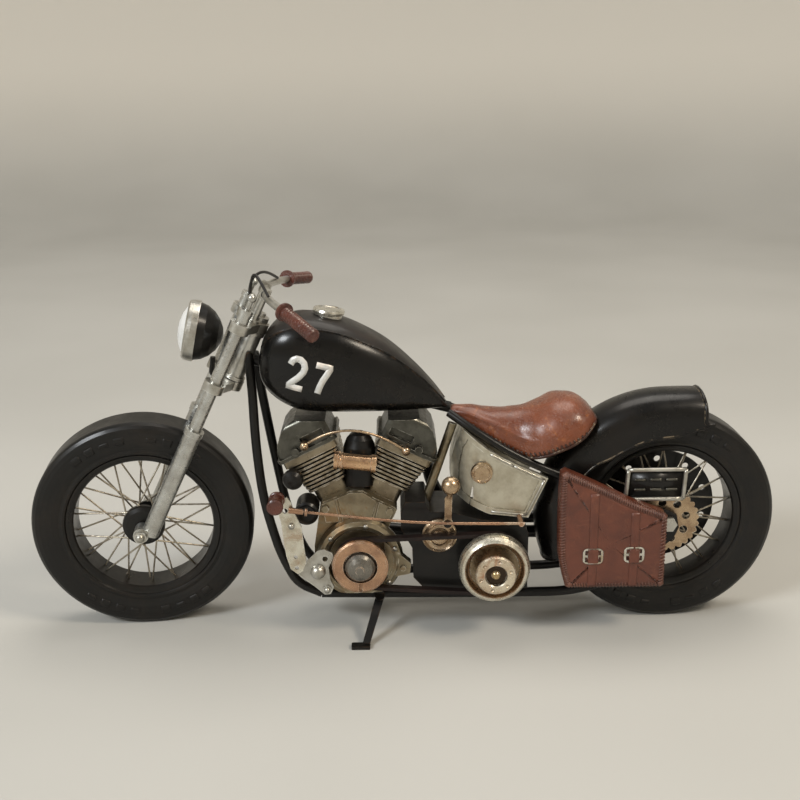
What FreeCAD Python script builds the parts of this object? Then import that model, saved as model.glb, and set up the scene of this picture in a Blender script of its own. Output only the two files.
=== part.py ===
import FreeCAD, Part
import math
import os

# Tinplate bobber motorcycle, 1:5 display toy.  Millimetres.
# +X runs to the rear wheel, +Y to the bike's right side, +Z up.
# The origin is on the ground, midway between the two wheels.

V = FreeCAD.Vector
Y_AXIS = V(0, 1, 0)

# ---- driving dimensions -------------------------------------------------------------------
WHEELBASE = 300.0
TYRE_R = 62.7
TYRE_HALF_W = 12.7
RIM_R = 39.45
RIM_HALF_W = 8.25
SPOKE_R = 0.5
SPOKE_STATIONS = 18
AXLE_R = 2.0
RUNNING = 0.05

RAKE = 25.7
REST_TURN = 5.5
HEAD_X = -88.0
HEAD_Z = 160.0
LEG_X = -9.5
LEG_Y = 19.5
FORK_TUBE_R = 3.5
SLIDER_R = 4.9
AXLE_LX = -13.86
AXLE_LZ = -114.3
STEM_R = 3.0

FRAME_TUBE_R = 2.6
RAIL_R = 2.75
RAIL_Z = 20.0
PLATE_Y = 18.0
PLATE_T = 2.0

V_ANGLE = 26.0
CRANK_X = -25.6
CRANK_Z = 51.9
FIN_T = 1.1
FIN_PITCH = 2.3
FIN_COUNT = 8

TANK_BOTTOM_Z = 127.5
TANK_HALF_W = 24.0
STAND_PIVOT = V(-14.4, -22.6, 20.8)
STAND_FOOT = V(-22.5, -42.6, 1.5)
STAND_TURN_AXIS = V(0, -STAND_PIVOT.z + STAND_FOOT.z, STAND_PIVOT.y - STAND_FOOT.y).normalize()

WHEEL_X = WHEELBASE / 2
REAR_HUB = V(WHEEL_X, 0, TYRE_R)
HEAD = V(HEAD_X, 0, HEAD_Z)
STEER_AXIS = V(math.sin(math.radians(RAKE)), 0, math.cos(math.radians(RAKE)))
PULLEY = V(-24.8, 0, 45.9)
CLUTCH = V(50.0, 0, 44.4)
GEAR_DISC = V(19.8, 0, 60.1)

os.makedirs("parts", exist_ok=True)


# ---- helpers ------------------------------------------------------------------------------
def save(name, *solids):
    """Write one node: a single solid, or a group of separate solids."""
    shape = solids[0] if len(solids) == 1 else Part.makeCompound(list(solids))
    shape.exportStep("parts/%s.step" % name)


def rod(start, end, radius):
    along = end.sub(start)
    return Part.makeCylinder(radius, along.Length, start, along)


def cross_rod(x, z, y0, y1, radius):
    """Round bar lying along Y."""
    return Part.makeCylinder(radius, y1 - y0, V(x, y0, z), Y_AXIS)


def block(x0, x1, y0, y1, z0, z1):
    return Part.makeBox(x1 - x0, y1 - y0, z1 - z0, V(x0, y0, z0))


def fuse(first, *others):
    result = first
    for other in others:
        result = result.fuse(other)
    return result.removeSplitter()


def plate(outline, y0, y1):
    """Flat plate cut to an (x, z) outline, between two Y values."""
    points = [V(x, y0, z) for x, z in outline]
    face = Part.Face(Part.makePolygon(points + points[:1]))
    return face.extrude(V(0, y1 - y0, 0))


def smooth_plate(outline, y0, y1):
    """Plate with one smooth closed curve through the (x, z) points."""
    curve = Part.BSplineCurve()
    curve.interpolate([V(x, y0, z) for x, z in outline], PeriodicFlag=True)
    return Part.Face(Part.Wire(curve.toShape())).extrude(V(0, y1 - y0, 0))


def turned_ring(profile, centre):
    """Solid of revolution about a Y axis, from an (r, y) outline."""
    points = [V(r, y, 0) for r, y in profile]
    face = Part.Face(Part.makePolygon(points + points[:1]))
    ring = face.revolve(V(0, 0, 0), Y_AXIS, 360)
    ring.translate(centre)
    return ring


def turned_about(profile, base, axis):
    """Solid of revolution from an (r, h) outline, h measured from base along axis."""
    points = [V(r, 0, h) for r, h in profile]
    face = Part.Face(Part.makePolygon(points + points[:1]))
    solid = face.revolve(V(0, 0, 0), V(0, 0, 1), 360)
    solid.Placement = FreeCAD.Placement(base, FreeCAD.Rotation(V(0, 0, 1), axis))
    return solid


def rounded_path(points):
    """Straight runs joined by arcs as large as the runs allow."""
    edges = []
    start = points[0]
    for before, corner, after in zip(points, points[1:], points[2:]):
        back = before.sub(corner)
        ahead = after.sub(corner)
        setback = 0.45 * min(back.Length, ahead.Length)
        half_turn = (math.pi - back.getAngle(ahead)) / 2
        radius = setback / math.tan(half_turn)
        back.normalize()
        ahead.normalize()
        inward = (back + ahead).normalize()
        arc_start = corner + back * setback
        arc_end = corner + ahead * setback
        arc_middle = corner + inward * (math.hypot(setback, radius) - radius)
        edges.append(Part.LineSegment(start, arc_start).toShape())
        edges.append(Part.Arc(arc_start, arc_middle, arc_end).toShape())
        start = arc_end
    edges.append(Part.LineSegment(start, points[-1]).toShape())
    return Part.Wire(edges)


def bent_tube(points, radius):
    path = rounded_path(points)
    section = Part.Wire(Part.makeCircle(radius, points[0], points[1].sub(points[0])))
    return path.makePipeShell([section], True, True)


def hex_nut(x, y0, y1, z, radius):
    outline = [(x + radius * math.cos(k * math.pi / 3), z + radius * math.sin(k * math.pi / 3))
               for k in range(6)]
    return plate(outline, y0, y1)


def slab_spline_loft(sections):
    """Smooth solid through closed curves, one list of points for each."""
    wires = []
    for points in sections:
        curve = Part.BSplineCurve()
        curve.interpolate(points, PeriodicFlag=True)
        wires.append(Part.Wire(curve.toShape()))
    return Part.makeLoft(wires, True)


def steered(shape):
    """Turn a piece of the front end from straight ahead to where the bars rest."""
    turned = shape.copy()
    turned.rotate(HEAD, STEER_AXIS, REST_TURN)
    return turned


def raked(shape):
    """Bring a front-end piece from the head's own axes, Z up the steering axis, to its place."""
    placed = shape.copy()
    placed.Placement = FreeCAD.Placement(HEAD, FreeCAD.Rotation(Y_AXIS, RAKE))
    return steered(placed)


# ---- wheels -------------------------------------------------------------------------------
def tyre_solid(centre):
    """Square-shouldered balloon tyre with a bead ridge beside the rim."""
    half = [(42.0, 8.8), (43.4, 9.9), (44.2, 11.0), (45.3, 11.5), (46.3, 11.2), (47.2, 11.1),
            (48.6, 11.7), (51.0, 12.35), (54.5, TYRE_HALF_W), (57.6, 12.6), (60.0, 12.0),
            (61.6, 10.8), (62.4, 9.6), (TYRE_R, 8.4)]
    profile = half + [(r, -y) for r, y in reversed(half)]
    return turned_ring(profile, centre)


def rim_solid(centre):
    half = [(RIM_R, RIM_HALF_W), (40.2, 9.4), (42.2, 10.4), (43.4, 10.6), (43.4, 9.9), (42.0, 8.8)]
    profile = half + [(r, -y) for r, y in reversed(half)]
    return turned_ring(profile, centre)


def spoke_set(centre, near_flange, far_flange):
    """Laced spokes: at each rim station one comes from each hub flange."""
    spokes = []
    for k in range(SPOKE_STATIONS):
        station = 2 * math.pi * (k + 0.5) / SPOKE_STATIONS
        lean = math.radians(38) * (1 if k % 2 else -1)
        for (flange_r, flange_y), side in ((near_flange, 1), (far_flange, -1)):
            at_hub = station + side * lean
            at_rim = station + side * math.radians(1.3)
            hub_end = V(flange_r * math.cos(at_hub), flange_y, flange_r * math.sin(at_hub))
            rim_end = V((RIM_R + 0.3) * math.cos(at_rim), flange_y * 0.25,
                        (RIM_R + 0.3) * math.sin(at_rim))
            spokes.append(rod(hub_end + centre, rim_end + centre, SPOKE_R))
    return spokes


def front_hub_solid(centre):
    bore = AXLE_R + RUNNING
    profile = [(bore, -13.6), (4.0, -13.6), (4.6, -12.4), (9.6, -11.6), (11.6, -10.4),
               (12.0, -9.2), (12.0, -7.0), (5.6, -6.4), (4.6, -4.5), (4.6, 5.5), (5.2, 6.6),
               (7.5, 7.0), (7.5, 8.6), (5.0, 9.4), (4.0, 13.6), (bore, 13.6)]
    return turned_ring(profile, centre)


def rear_hub_solid(centre):
    bore = AXLE_R + RUNNING
    profile = [(bore, -17.2), (5.2, -17.2), (5.2, -16.2), (5.6, -15.0), (5.6, -9.6), (8.6, -9.2),
               (8.6, -7.4), (6.0, -6.6), (5.0, -3.0), (5.0, 5.0), (6.0, 6.4), (8.6, 6.8),
               (8.6, 8.4), (6.0, 9.2), (6.0, 9.6), (4.6, 11.8), (4.6, 17.2), (bore, 17.2)]
    return turned_ring(profile, centre)


def front_wheel():
    local = V(AXLE_LX, 0, AXLE_LZ)
    upright = FreeCAD.Placement(HEAD, FreeCAD.Rotation(Y_AXIS, RAKE)).multVec(local)
    save("front_tyre", steered(tyre_solid(upright)))
    save("front_rim", steered(rim_solid(upright)))
    save("front_hub", steered(front_hub_solid(upright)))
    save("front_spokes", *[steered(s) for s in spoke_set(upright, (10.8, -8.6), (6.6, 7.8))])


def rear_wheel():
    save("rear_tyre", tyre_solid(REAR_HUB))
    save("rear_rim", rim_solid(REAR_HUB))
    save("rear_hub", rear_hub_solid(REAR_HUB))
    save("rear_spokes", *spoke_set(REAR_HUB, (7.6, -8.3), (7.6, 7.6)))
    rear_sprocket()
    brake_disc()


def rear_sprocket():
    teeth = 26
    outline = []
    for k in range(teeth * 4):
        radius = (16.9, 18.1, 18.7, 18.1)[k % 4]
        angle = 2 * math.pi * k / (teeth * 4)
        outline.append((WHEEL_X + radius * math.cos(angle), TYRE_R + radius * math.sin(angle)))
    disc = plate(outline, -16.2, -15.0)
    disc = disc.cut(cross_rod(WHEEL_X, TYRE_R, -17, -14, 5.6))
    for k in range(8):
        angle = 2 * math.pi * (k + 0.35) / 8
        hole = cross_rod(WHEEL_X + 11.2 * math.cos(angle), TYRE_R + 11.2 * math.sin(angle),
                         -17, -14, 2.3)
        disc = disc.cut(hole)
    save("rear_sprocket", disc)


def brake_disc():
    disc = turned_ring([(4.6, 9.8), (33.5, 9.8), (33.5, 11.2), (4.6, 11.2)], REAR_HUB)
    for k in range(10):
        angle = math.radians(36 * k + 20)
        hole = cross_rod(WHEEL_X + 28.2 * math.cos(angle), TYRE_R + 28.2 * math.sin(angle),
                         9, 12, 1.9)
        disc = disc.cut(hole)
    save("brake_disc", disc.cut(rear_hub_solid(REAR_HUB)))


def rear_axle():
    bar = cross_rod(WHEEL_X, TYRE_R, -22.6, 22.6, AXLE_R)
    nuts = [hex_nut(WHEEL_X, y0, y1, TYRE_R, 4.6) for y0, y1 in ((-22.6, -20.0), (20.0, 22.6))]
    save("rear_axle", fuse(bar, *nuts))


# ---- front end, in the head's own axes ------------------------------------------------------
def fork():
    sliders = []
    tubes = []
    for side in (-1, 1):
        y = side * LEG_Y
        slider = rod(V(LEG_X, y, AXLE_LZ + 1.5), V(LEG_X, y, -45.0), SLIDER_R)
        collar = rod(V(LEG_X, y, -48.0), V(LEG_X, y, -44.6), SLIDER_R + 0.5)
        inner, outer = sorted((side * 14.6, side * 23.6))
        lug = cross_rod(AXLE_LX, AXLE_LZ, inner, outer, 4.3)
        slider = fuse(slider, collar, lug)
        slider = slider.cut(cross_rod(AXLE_LX, AXLE_LZ, -30, 30, AXLE_R))
        slider = slider.cut(rod(V(LEG_X, y, -62), V(LEG_X, y, -40), FORK_TUBE_R))
        sliders.append(raked(slider))
        tube = rod(V(LEG_X, y, -62), V(LEG_X, y, 27.0), FORK_TUBE_R)
        cap = rod(V(LEG_X, y, 27.0), V(LEG_X, y, 29.4), FORK_TUBE_R + 0.4)
        neck = rod(V(LEG_X, y, 29.4), V(LEG_X, y, 35.0), 1.5)
        knob = Part.makeSphere(2.5, V(LEG_X, y, 36.2))
        tubes.append(raked(fuse(tube, cap, neck, knob)))
    save("fork_sliders", *sliders)
    save("fork_tubes", *tubes)


def triple_clamp(z0, z1):
    """One fork yoke: eyes for the two legs and the stem, joined by a waisted plate."""
    clamp = rod(V(0, 0, z0), V(0, 0, z1), 6.4)
    for side in (-1, 1):
        y = side * LEG_Y
        clamp = clamp.fuse(rod(V(LEG_X, y, z0), V(LEG_X, y, z1), 5.9))
        corners = [V(-6.4, 0, z0), V(4.5, 0, z0), V(-4.6, y, z0), V(-14.2, y, z0)]
        arm = Part.Face(Part.makePolygon(corners + corners[:1])).extrude(V(0, 0, z1 - z0))
        clamp = clamp.fuse(arm)
    for x, y, radius in ((0, 0, STEM_R), (LEG_X, LEG_Y, FORK_TUBE_R), (LEG_X, -LEG_Y, FORK_TUBE_R)):
        clamp = clamp.cut(rod(V(x, y, z0 - 1), V(x, y, z1 + 1), radius))
    return clamp.removeSplitter()


def steering_head():
    save("triple_clamps", raked(triple_clamp(-20.1, -14.9)), raked(triple_clamp(16.0, 21.4)))
    stem = rod(V(0, 0, -20.1), V(0, 0, 21.4), STEM_R)
    nut = rod(V(0, 0, 21.4), V(0, 0, 24.6), 5.0)
    save("steering_stem", raked(fuse(stem, nut, rod(V(0, 0, 24.6), V(0, 0, 26.4), 2.6))))
    axle = cross_rod(AXLE_LX, AXLE_LZ, -23.6, 23.6, AXLE_R)
    for y0, y1 in ((-26.4, -23.6), (23.6, 26.4)):
        axle = axle.fuse(cross_rod(AXLE_LX, AXLE_LZ, y0, y1, 3.4))
    domes = [Part.makeSphere(2.6, V(AXLE_LX, y, AXLE_LZ)) for y in (-26.0, 26.0)]
    save("front_axle", raked(fuse(axle, *domes)))


BAR_X = -3.4
BAR_Z = 38.5
BAR_R = 2.1
GRIP_SPANS = ((V(6.4, -42.0, 41.6), V(22.4, -67.4, 41.9)), (V(8.6, 40.0, 40.8), V(22.0, 62.0, 42.2)))
GRIP_BODY_R = 3.2
GRIP_RING_R = 3.6
GRIP_RINGS = 12


def handlebar():
    (near_start, near_end), (far_start, far_end) = GRIP_SPANS
    route = [near_end - (near_end - near_start) * 0.12, near_start, V(BAR_X, -15.0, BAR_Z),
             V(BAR_X, 15.0, BAR_Z), far_start, far_end - (far_end - far_start) * 0.12]
    pieces = [raked(bent_tube(route, BAR_R))]
    for y in (-8.0, 8.0):
        post = rod(V(BAR_X, y, 21.4), V(BAR_X, y, 37.0), 2.3)
        foot = rod(V(BAR_X, y, 21.4), V(BAR_X, y, 23.0), 3.4)
        clamp = block(BAR_X - 3.0, BAR_X + 3.0, y - 2.2, y + 2.2, BAR_Z - 3.0, BAR_Z + 3.0)
        riser = fuse(post, foot, clamp).cut(cross_rod(BAR_X, BAR_Z, y - 4, y + 4, BAR_R))
        pieces.append(raked(riser))
    save("handlebar", *pieces)
    save("grips", *[grip(start, end) for start, end in GRIP_SPANS])


def grip(start, end):
    """Ringed sleeve with a thin flange at the inboard end and a capped outer end."""
    along = (end - start).normalize()
    length = (end - start).Length
    bore = rod(start - along * 3, end - along * 3.6, BAR_R)
    profile = [(0, 0), (5.0, 0), (5.0, 1.2), (GRIP_BODY_R, 1.8)]
    pitch = (length - 5.0) / GRIP_RINGS
    for k in range(GRIP_RINGS):
        base = 2.2 + k * pitch
        profile += [(GRIP_BODY_R, base), (GRIP_RING_R, base + pitch * 0.25),
                    (GRIP_RING_R, base + pitch * 0.65), (GRIP_BODY_R, base + pitch * 0.85)]
    profile += [(3.7, length - 2.4), (3.7, length - 0.8), (2.9, length), (0, length)]
    return raked(turned_about(profile, start, along).cut(bore))


LAMP = V(-112.7, 0, 174.5)
LAMP_BACK = V(0.976, 0, -0.218)


def headlight():
    """Bullet lamp on a bent stem that is bolted to the lower yoke."""
    shell_out = [(0, 14.6), (4.2, 13.8), (8.6, 11.6), (12.4, 8.2), (15.0, 4.2), (16.2, 0.0)]
    shell_in = [(15.0, 0.0), (13.8, 4.0), (11.4, 7.4), (7.8, 10.4), (3.8, 12.6), (0, 13.4)]
    shell = turned_about(shell_out + shell_in, LAMP, LAMP_BACK)
    rim = [(13.4, -6.4), (15.6, -6.4), (16.6, -5.4), (17.0, -3.4), (17.0, 0.0), (15.4, 0.0),
           (14.8, -3.4), (13.4, -4.4)]
    save("headlight_rim", steered(turned_about(rim, LAMP, LAMP_BACK)))
    lens = [(0, -10.4), (4.6, -10.0), (8.8, -8.9), (12.0, -7.3), (13.4, -6.2), (13.4, -4.6),
            (0, -4.6)]
    save("headlight_lens", steered(turned_about(lens, LAMP, LAMP_BACK)))
    stem = [V(-105.0, 0, 159.4), V(-105.6, 0, 154.5), V(-106.5, 0, 150.0), V(-103.5, 0, 147.6)]
    bowl = turned_about(shell_out + [(0, 0)], LAMP, LAMP_BACK)
    save("headlight_shell", steered(fuse(shell, bent_tube(stem, 1.5).cut(bowl))))


THROTTLE_ROUTE = (V(-2.4, -25.0, 41.8), V(-8.0, -18.5, 45.6), V(-13.6, -12.0, 48.0),
                  V(-12.6, -9.4, 41.0), V(-9.8, -8.2, 33.0), V(-8.6, -4.6, 27.0),
                  V(-5.6, -2.4, 22.2))
BRAKE_ROUTE = (V(2.2, 25.0, 42.4), V(-3.5, 15.5, 45.4), V(-9.5, 4.0, 46.4), V(-13.0, -3.6, 42.0),
               V(-10.4, -4.4, 33.0), V(-8.6, -0.6, 27.0), V(-5.6, 2.4, 22.2))
CABLE_R = 0.8


def control_cables():
    """Throttle and brake cables, looped from the bars down to the top yoke."""
    save("throttle_cable", raked(bent_tube(THROTTLE_ROUTE, CABLE_R)))
    save("brake_cable", raked(bent_tube(BRAKE_ROUTE, CABLE_R)))


# ---- frame --------------------------------------------------------------------------------
def head_tube():
    tube = rod(V(0, 0, -14.5), V(0, 0, 15.6), 5.2).cut(rod(V(0, 0, -15), V(0, 0, 16),
                                                           STEM_R + RUNNING))
    for z0, z1 in ((-14.5, -12.5), (13.6, 15.6)):
        cup = rod(V(0, 0, z0), V(0, 0, z1), 6.2).cut(rod(V(0, 0, z0), V(0, 0, z1), 5.0))
        tube = tube.fuse(cup)
    placed = tube.removeSplitter()
    placed.Placement = FreeCAD.Placement(HEAD, FreeCAD.Rotation(Y_AXIS, RAKE))
    save("head_tube", placed)


BACKBONE = (V(-86.0, 0, 158.0), V(27.0, 0, 127.5))
BACKBONE_R = 3.2
SEAT_POST = (V(28.4, -4.0, 119.4), V(5.0, -9.0, 52.0))


def frame_tubes():
    """Backbone, down tubes, lower rails, seat post and rear stays."""
    head_core = rod(V(HEAD_X, 0, HEAD_Z) - STEER_AXIS * 14.5,
                    V(HEAD_X, 0, HEAD_Z) + STEER_AXIS * 15.6, 6.3)
    backbone = rod(*BACKBONE, BACKBONE_R).cut(head_core)
    near = [V(-85.4, -3.0, 166.0), V(-83.4, -7.0, 142.0), V(-82.6, -11.0, 112.0),
            V(-79.4, -14.0, 78.0), V(-71.0, -15.6, 46.0), V(-62.0, -15.6, 27.0),
            V(-48.0, -15.6, RAIL_Z + 0.6)]
    far = [V(-82.6, 4.5, 160.0), V(-80.0, 10.0, 134.0), V(-75.6, 14.0, 100.0),
           V(-69.4, 15.6, 62.0), V(-60.0, 15.6, 34.0), V(-48.0, 15.6, RAIL_Z + 0.6)]
    tubes = [bent_tube(route, FRAME_TUBE_R).cut(head_core) for route in (near, far)]
    save("frame_tubes", backbone, *tubes)
    rails = []
    for side in (-1, 1):
        route = [V(-48.0, side * 15.6, RAIL_Z + 0.6), V(-20.0, side * 15.6, RAIL_Z),
                 V(52.0, side * 17.0, RAIL_Z - 0.4), V(96.0, side * 18.0, RAIL_Z + 0.4),
                 V(122.0, side * 18.0, RAIL_Z + 8.0), V(136.0, side * 18.0, RAIL_Z + 24.0)]
        rails.append(bent_tube(route, RAIL_R))
    ear = rod(STAND_PIVOT + STAND_TURN_AXIS * 0.25, STAND_PIVOT + STAND_TURN_AXIS * 2.8, 2.8)
    bridge = block(-16.6, -12.2, -23.6, -15.0, 22.5, 24.6)
    pin = rod(STAND_PIVOT + STAND_TURN_AXIS * 2.6, STAND_PIVOT - STAND_TURN_AXIS * 3.0, 1.0)
    head = rod(STAND_PIVOT - STAND_TURN_AXIS * 1.9, STAND_PIVOT - STAND_TURN_AXIS * 3.0, 2.0)
    post = block(-16.6, -12.2, -17.6, -15.0, 20.0, 24.6)
    rails[0] = fuse(rails[0], ear, bridge, post, pin, head)
    save("lower_rails", *rails)
    save("seat_post", rod(*SEAT_POST, FRAME_TUBE_R))
    stays = []
    for side in (-1, 1):
        route = [V(26.0, side * 7.0, 126.4), V(38.0, side * 14.6, 119.4),
                 V(58.0, side * 19.6, 107.2), V(76.0, side * 20.6, 98.2),
                 V(100.0, side * 20.8, 88.0), V(140.0, side * 20.8, 66.0)]
        stays.append(bent_tube(route, 2.3))
    save("rear_stays", *stays)


def axle_plates():
    outline = [(130.0, 38.0), (139.0, 41.0), (153.4, 53.2), (156.2, 60.0), (154.4, 68.0),
               (148.0, 71.5), (138.0, 69.0), (130.0, 60.0)]
    plates = []
    for y0, y1 in ((-PLATE_Y - PLATE_T, -PLATE_Y), (PLATE_Y, PLATE_Y + PLATE_T)):
        flat = plate(outline, y0, y1)
        plates.append(flat.cut(cross_rod(WHEEL_X, TYRE_R, -30, 30, AXLE_R)))
    save("axle_plates", *plates)


def side_stand():
    """Strip leg on an inclined pivot, with a small bent foot."""
    pivot = STAND_PIVOT
    down = (STAND_FOOT - pivot).normalize()
    across = STAND_TURN_AXIS.cross(down).normalize()
    corners = [pivot - across * 2.4, pivot + across * 2.4,
               STAND_FOOT + across * 2.0, STAND_FOOT - across * 2.0]
    leg = Part.Face(Part.makePolygon(corners + corners[:1])).extrude(STAND_TURN_AXIS * -1.6)
    leg = leg.fuse(rod(pivot, pivot - STAND_TURN_AXIS * 1.6, 2.4))
    leg = leg.cut(rod(pivot + STAND_TURN_AXIS, pivot - STAND_TURN_AXIS * 3, 1.0 + RUNNING))
    pad = block(-30.5, -20.0, -46.0, -40.8, 0, 2.0)
    pad = pad.makeFillet(0.8, [e for e in pad.Edges if abs(e.tangentAt(e.FirstParameter).z) > 0.9])
    save("side_stand", fuse(leg, pad))


# ---- bodywork -----------------------------------------------------------------------------
def fuel_tank():
    """Teardrop tank shell with a tunnel for the backbone, and its filler cap."""
    side = [(-79.0, 155.0), (-77.4, 164.6), (-73.0, 174.4), (-65.0, 181.2), (-53.0, 183.2),
            (-38.0, 181.2), (-23.6, 175.6), (-7.4, 166.2), (8.6, 152.0), (18.6, 140.2),
            (25.0, 131.0), (24.0, 127.9), (12.0, 127.6), (-20.0, TANK_BOTTOM_Z),
            (-50.0, 127.8), (-62.0, 130.6), (-71.4, 137.4), (-77.0, 145.6)]
    body = smooth_plate(side, -40, 40)
    nose = [(-79.6, 0), (-78.0, 12.0), (-72.0, 19.0), (-58.0, 23.4), (-40.0, TANK_HALF_W),
            (-20.0, 22.0), (0.0, 16.4), (14.0, 10.0), (24.0, 5.0), (26.0, 0)]
    plan_points = nose + [(x, -y) for x, y in reversed(nose[1:-1])]
    curve = Part.BSplineCurve()
    curve.interpolate([V(x, y, 100) for x, y in plan_points], PeriodicFlag=True)
    plan = Part.Face(Part.Wire(curve.toShape())).extrude(V(0, 0, 100))
    tank = body.common(plan)
    slope = math.degrees(math.atan2(BACKBONE[0].z - BACKBONE[1].z, BACKBONE[1].x - BACKBONE[0].x))
    gap = BACKBONE_R + 0.5
    tunnel = Part.makeBox(150, 2 * gap, 60, V(-20, -gap, gap - 60))
    tunnel.rotate(V(0, 0, 0), Y_AXIS, slope)
    tunnel.translate(BACKBONE[0])
    hollow = tank.copy()
    hollow.scale(0.93, V(-27.0, 0, 160.0))
    for drop in (0, 8.0, 16.0):
        sunk = hollow.copy()
        sunk.translate(V(0, 0, -drop))
        tank = tank.cut(sunk)
    tank = tank.cut(tunnel)
    save("fuel_tank", max(tank.Solids, key=lambda s: s.Volume))
    neck = [(0, -3.0), (7.6, -3.0), (7.6, 1.4), (8.6, 1.8), (8.9, 3.2), (8.5, 4.2), (7.0, 4.6),
            (6.6, 4.2), (3.0, 4.5), (0, 4.6)]
    cap = turned_about(neck, V(-40.2, 0, 181.2), V(0.14, 0, 0.99))
    save("fuel_cap", max(cap.cut(body).Solids, key=lambda s: s.Volume))


def oil_tank():
    """Horseshoe oil tank: flat sides, round front, pressed border on the near side."""
    side = [(33.4, 120.0), (47.4, 109.4), (61.4, 101.6), (80.4, 92.6), (69.8, 69.4),
            (48.3, 71.8), (37.0, 76.2), (29.4, 80.6), (27.0, 88.0), (27.2, 98.5), (29.4, 110.2)]
    inner = [(35.8, 114.8), (48.0, 105.6), (61.0, 98.6), (75.6, 91.2), (67.6, 73.0),
             (49.6, 75.4), (38.8, 79.4), (33.0, 83.0), (31.0, 89.4), (31.2, 98.5), (33.0, 109.0)]

    def horseshoe(y_face, front_x):
        near = (V(90, -y_face, 60), V(46, -y_face, 60))
        far = (V(90, y_face, 60), V(46, y_face, 60))
        edges = [Part.LineSegment(near[0], near[1]).toShape(),
                 Part.Arc(near[1], V(front_x, 0, 60), far[1]).toShape(),
                 Part.LineSegment(far[1], far[0]).toShape(),
                 Part.LineSegment(far[0], near[0]).toShape()]
        return Part.Face(Part.Wire(edges)).extrude(V(0, 0, 80))

    wheel_room = turned_ring([(0.1, -19.0), (77.4, -19.0), (77.4, 19.0), (0.1, 19.0)], REAR_HUB)
    core = horseshoe(23.4, 27.0).common(plate(side, -40, 40))
    border = horseshoe(24.2, 26.4).cut(horseshoe(23.4, 27.0)).common(plate(side, -40, 40))
    border = border.cut(plate(inner, -40, 40))
    inside = cross_rod(WHEEL_X, TYRE_R, -20.6, 20.6, 114.0)
    post_room = rod(*SEAT_POST, FRAME_TUBE_R + 0.4)
    tank = core.fuse(border).cut(wheel_room).cut(inside).cut(post_room)
    save("oil_tank", max(tank.Solids, key=lambda s: s.Volume))
    cap = turned_about([(0, 0), (6.0, 0), (6.3, 1.0), (5.8, 2.6), (4.6, 3.2), (4.2, 2.6), (0, 2.8)],
                       V(43.4, -23.4, 96.6), V(0, -1, 0))
    save("oil_cap", cap)


FENDER_R = 74.0
FENDER_SIDE_Y = 17.4
FENDER_T = 1.2


def rear_fender():
    """Pressed mudguard hugging the tyre, from behind the gearbox to a slanted tail."""
    outer = [(50.0, -17.2), (58.0, -FENDER_SIDE_Y), (64.4, -16.6), (69.0, -13.9), (72.2, -9.6),
             (FENDER_R, -4.0)]
    inner = [(FENDER_R - FENDER_T, -4.0), (71.0, -9.0), (68.0, -12.9), (63.8, -15.4),
             (58.0, FENDER_T - FENDER_SIDE_Y), (50.0, FENDER_T - 17.2)]
    far_outer = [(r, -y) for r, y in reversed(outer)]
    far_inner = [(r, -y) for r, y in reversed(inner)]
    points = [V(r, y, 0) for r, y in outer + far_outer + far_inner + inner]
    face = Part.Face(Part.makePolygon(points + points[:1]))
    shell = face.revolve(V(0, 0, 0), Y_AXIS, 137)
    shell.rotate(V(0, 0, 0), Y_AXIS, 159)
    shell.translate(REAR_HUB)
    tail = plate([(168.6, 142.0), (171.0, 132.0), (173.8, 120.5), (159.0, 114.6), (150.0, 112.0),
                  (150.0, 60.0), (240.0, 60.0), (240.0, 142.0)], -40, 40)
    save("rear_fender", max(shell.cut(tail).Solids, key=lambda s: s.Volume))


SADDLE_STATIONS = (
    # x, half width, crest z, edge z
    (27.0, 4.0, 128.4, 124.4), (33.0, 6.6, 128.9, 121.6), (43.4, 11.0, 127.8, 116.1),
    (54.2, 15.0, 126.6, 110.2), (65.0, 17.4, 127.0, 104.5), (75.5, 23.6, 129.8, 105.3),
    (86.3, 25.4, 134.2, 109.2), (94.0, 24.6, 134.5, 112.4), (100.5, 22.0, 131.8, 116.3),
    (105.0, 17.6, 128.6, 120.2), (107.6, 13.0, 126.4, 122.6))
SADDLE_T = 3.2


def saddle():
    """Sprung-saddle shape: narrow nose, dip, raised cantle, skirts that fold down."""
    sections = []
    for x, half, crest, edge in SADDLE_STATIONS:
        wall = min(SADDLE_T, half * 0.5, (crest - edge) * 0.6)
        upper = saddle_arch(half, crest, edge)
        lower = saddle_arch(half - wall, crest - wall, edge)
        points = [V(x, y, z) for y, z in upper + lower[::-1]]
        sections.append(Part.makePolygon(points + points[:1]))
    seat = Part.makeLoft(sections, True, True)
    wheel_room = cross_rod(WHEEL_X, TYRE_R, -19.0, 19.0, FENDER_R + 0.4)
    save("saddle", max(seat.cut(wheel_room).Solids, key=lambda s: s.Volume))


def saddle_arch(half, crest, edge):
    """Half of a rounded box section, from the near edge over the top to the far edge."""
    arch = []
    for k in range(13):
        turn = math.pi * (1 - k / 12)
        y = math.copysign(abs(math.cos(turn)) ** 0.75, math.cos(turn)) * half
        arch.append((y, edge + (crest - edge) * math.sin(turn) ** 0.8))
    return arch


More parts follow.
